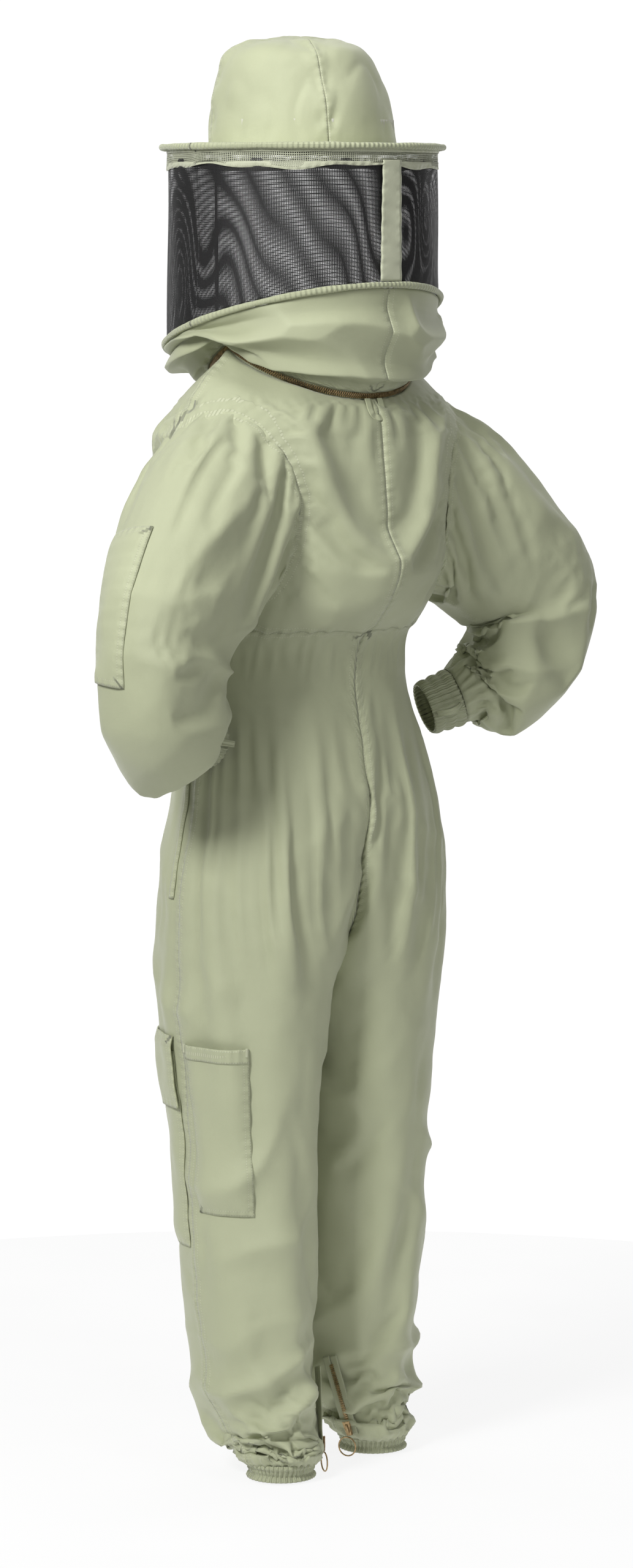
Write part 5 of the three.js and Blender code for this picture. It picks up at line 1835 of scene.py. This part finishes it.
class SUIT_OT_elastic(SuitOperator, bpy.types.Operator):
    """Gather the cuffs, the ankle cuffs and the waist"""
    bl_idname = "suit.elastic"
    bl_label = "Elastic"
    steps = (elastic_cuffs, thumb_loops, waist_band)


class SUIT_OT_pockets(SuitOperator, bpy.types.Operator):
    """Lay the pockets and the flap on the legs and the sleeve"""
    bl_idname = "suit.pockets"
    bl_label = "Pockets"
    steps = (cargo_pocket, thigh_pocket, hip_pockets, sleeve_pocket)


class SUIT_OT_zips(SuitOperator, bpy.types.Operator):
    """Set the tapes and teeth of every zip"""
    bl_idname = "suit.zips"
    bl_label = "Zips"
    steps = (neck_zips, front_zips, ankle_zips)


class SUIT_OT_brass(SuitOperator, bpy.types.Operator):
    """Hang the sliders, pulls, rings and the hanging loop"""
    bl_idname = "suit.brass"
    bl_label = "Sliders and pulls"
    steps = (sliders_and_pulls, hang_loop)


class SUIT_OT_hat(SuitOperator, bpy.types.Operator):
    """Sew the crown, the brim and the bands of the hat"""
    bl_idname = "suit.hat"
    bl_label = "Hat"
    steps = (crown, brim, head_bands)


class SUIT_OT_veil(SuitOperator, bpy.types.Operator):
    """Hang the net and its tape, and fold the collar"""
    bl_idname = "suit.veil"
    bl_label = "Veil and collar"
    steps = (veil, collar)


FLOOR_Z = -10.5  # millimetres, just under the ankle cuffs
FLOOR_RADIUS = 1400
VIEW = (0.643, 0.766, 0)  # from the suit to the camera
LOOK_AT = (-0.0165, 0.0138, 0.815)
CAMERA_AWAY = 6.06
CAMERA_Z = 1.48


def stage():
    """A pale floor, a pale world that the camera sees as white, soft lamps and the camera."""
    scene = bpy.context.scene
    view = unit(vec(*VIEW))
    right = vec(-view[1], view[0], 0)
    aim = vec(0, 0, 0.85)
    n = Nodes("stage_floor")
    glow = n.new("Emission", Strength=0.99)
    pale = n.mix(n.noise(3, 2, place_vector(n)), (0.97, 0.97, 0.97), (1, 1, 1))
    n.link(pale, glow.inputs["Color"])
    n.link(pale, n.shader.inputs["Base Color"])
    n.shader.inputs["Roughness"].default_value = 0.9
    both = n.new("MixShader", Fac=0.12)
    n.link(glow.outputs[0], both.inputs[1])
    n.link(n.shader.outputs[0], both.inputs[2])
    n.link(both.outputs[0], n.output.inputs["Surface"])
    turn = np.linspace(0, 2 * math.pi, 64, endpoint=False)
    rim = np.stack([FLOOR_RADIUS * np.cos(turn), FLOOR_RADIUS * np.sin(turn), np.full(64, FLOOR_Z)], -1)
    floor = mesh_object("stage_floor_disc", rim, [tuple(range(64))], False)
    floor.data.materials.append(n.material)
    world = bpy.data.worlds.new("studio")
    scene.world = world
    world.use_nodes = True
    tree = world.node_tree
    sky = tree.nodes["Background"]
    sky.inputs["Color"].default_value = (1, 1, 1, 1)
    sky.inputs["Strength"].default_value = 0.22
    # what the camera sees behind the suit is plain white; the light from it stays low
    plain = tree.nodes.new("ShaderNodeBackground")
    plain.inputs["Color"].default_value = (1, 1, 1, 1)
    plain.inputs["Strength"].default_value = 1.05
    seen = tree.nodes.new("ShaderNodeLightPath")
    either = tree.nodes.new("ShaderNodeMixShader")
    tree.links.new(seen.outputs["Is Camera Ray"], either.inputs[0])
    tree.links.new(sky.outputs[0], either.inputs[1])
    tree.links.new(plain.outputs[0], either.inputs[2])
    tree.links.new(either.outputs[0], tree.nodes["World Output"].inputs["Surface"])
    for name, at, size, power in (
        ("key_lamp", aim + view * 2.4 - right * 1.7 + vec(0, 0, 1.9), 0.9, 108),
        ("fill_lamp", aim + view * 3.0 + right * 2.4 + vec(0, 0, 0.9), 1.6, 26),
        ("top_lamp", aim + vec(0, 0, 2.8) + view * 0.5, 1.0, 22),
        ("back_lamp", aim - view * 2.6, 6.0, 115),
    ):
        lamp = bpy.data.lights.new(name, "AREA")
        lamp.size = size
        lamp.energy = power
        made = bpy.data.objects.new(name, lamp)
        made.location = at
        made.visible_camera = False
        made.rotation_euler = Vector(aim - at).to_track_quat("-Z", "Y").to_euler()
        scene.collection.objects.link(made)
    camera = bpy.data.objects.new("camera", bpy.data.cameras.new("camera"))
    camera.location = (LOOK_AT[0] + VIEW[0] * CAMERA_AWAY, LOOK_AT[1] + VIEW[1] * CAMERA_AWAY, CAMERA_Z)
    camera.rotation_euler = (Vector(LOOK_AT) - camera.location).to_track_quat("-Z", "Y").to_euler()
    camera.data.lens = 116
    camera.data.sensor_width = 36
    camera.data.clip_end = 60
    scene.collection.objects.link(camera)
    scene.camera = camera
    scene.view_settings.view_transform = "Standard"


class SUIT_OT_stage(SuitOperator, bpy.types.Operator):
    """Set the floor, the world, the lamps and the camera"""
    bl_idname = "suit.stage"
    bl_label = "Stage"
    steps = (stage,)


OPERATORS = (SUIT_OT_cloth, SUIT_OT_elastic, SUIT_OT_pockets, SUIT_OT_zips, SUIT_OT_brass, SUIT_OT_hat,
             SUIT_OT_veil, SUIT_OT_stage)


class SUIT_PT_panel(bpy.types.Panel):
    bl_label = "Beekeeping suit"
    bl_space_type = "VIEW_3D"
    bl_region_type = "UI"
    bl_category = "Suit"

    def draw(self, context):
        layout = self.layout
        for group in (context.scene.suit_colours, context.scene.suit_sizes):
            box = layout.box()
            for key in group.bl_rna.properties.keys():
                if key not in ("rna_type", "name"):
                    box.prop(group, key)
        for operator in OPERATORS:
            layout.operator(operator.bl_idname)


CLASSES = (SuitColours, SuitSizes) + OPERATORS + (SUIT_PT_panel,)


def register():
    for item in CLASSES:
        bpy.utils.register_class(item)
    bpy.types.Scene.suit_colours = PointerProperty(type=SuitColours)
    bpy.types.Scene.suit_sizes = PointerProperty(type=SuitSizes)


def unregister():
    del bpy.types.Scene.suit_sizes
    del bpy.types.Scene.suit_colours
    for item in reversed(CLASSES):
        bpy.utils.unregister_class(item)


def main():
    register()
    for name in ("Cube", "Light", "Camera"):
        if name in bpy.data.objects:
            bpy.data.objects.remove(bpy.data.objects[name])
    for operator in OPERATORS:
        group, name = operator.bl_idname.split(".")
        getattr(getattr(bpy.ops, group), name)()


if __name__ == "__main__":
    main()
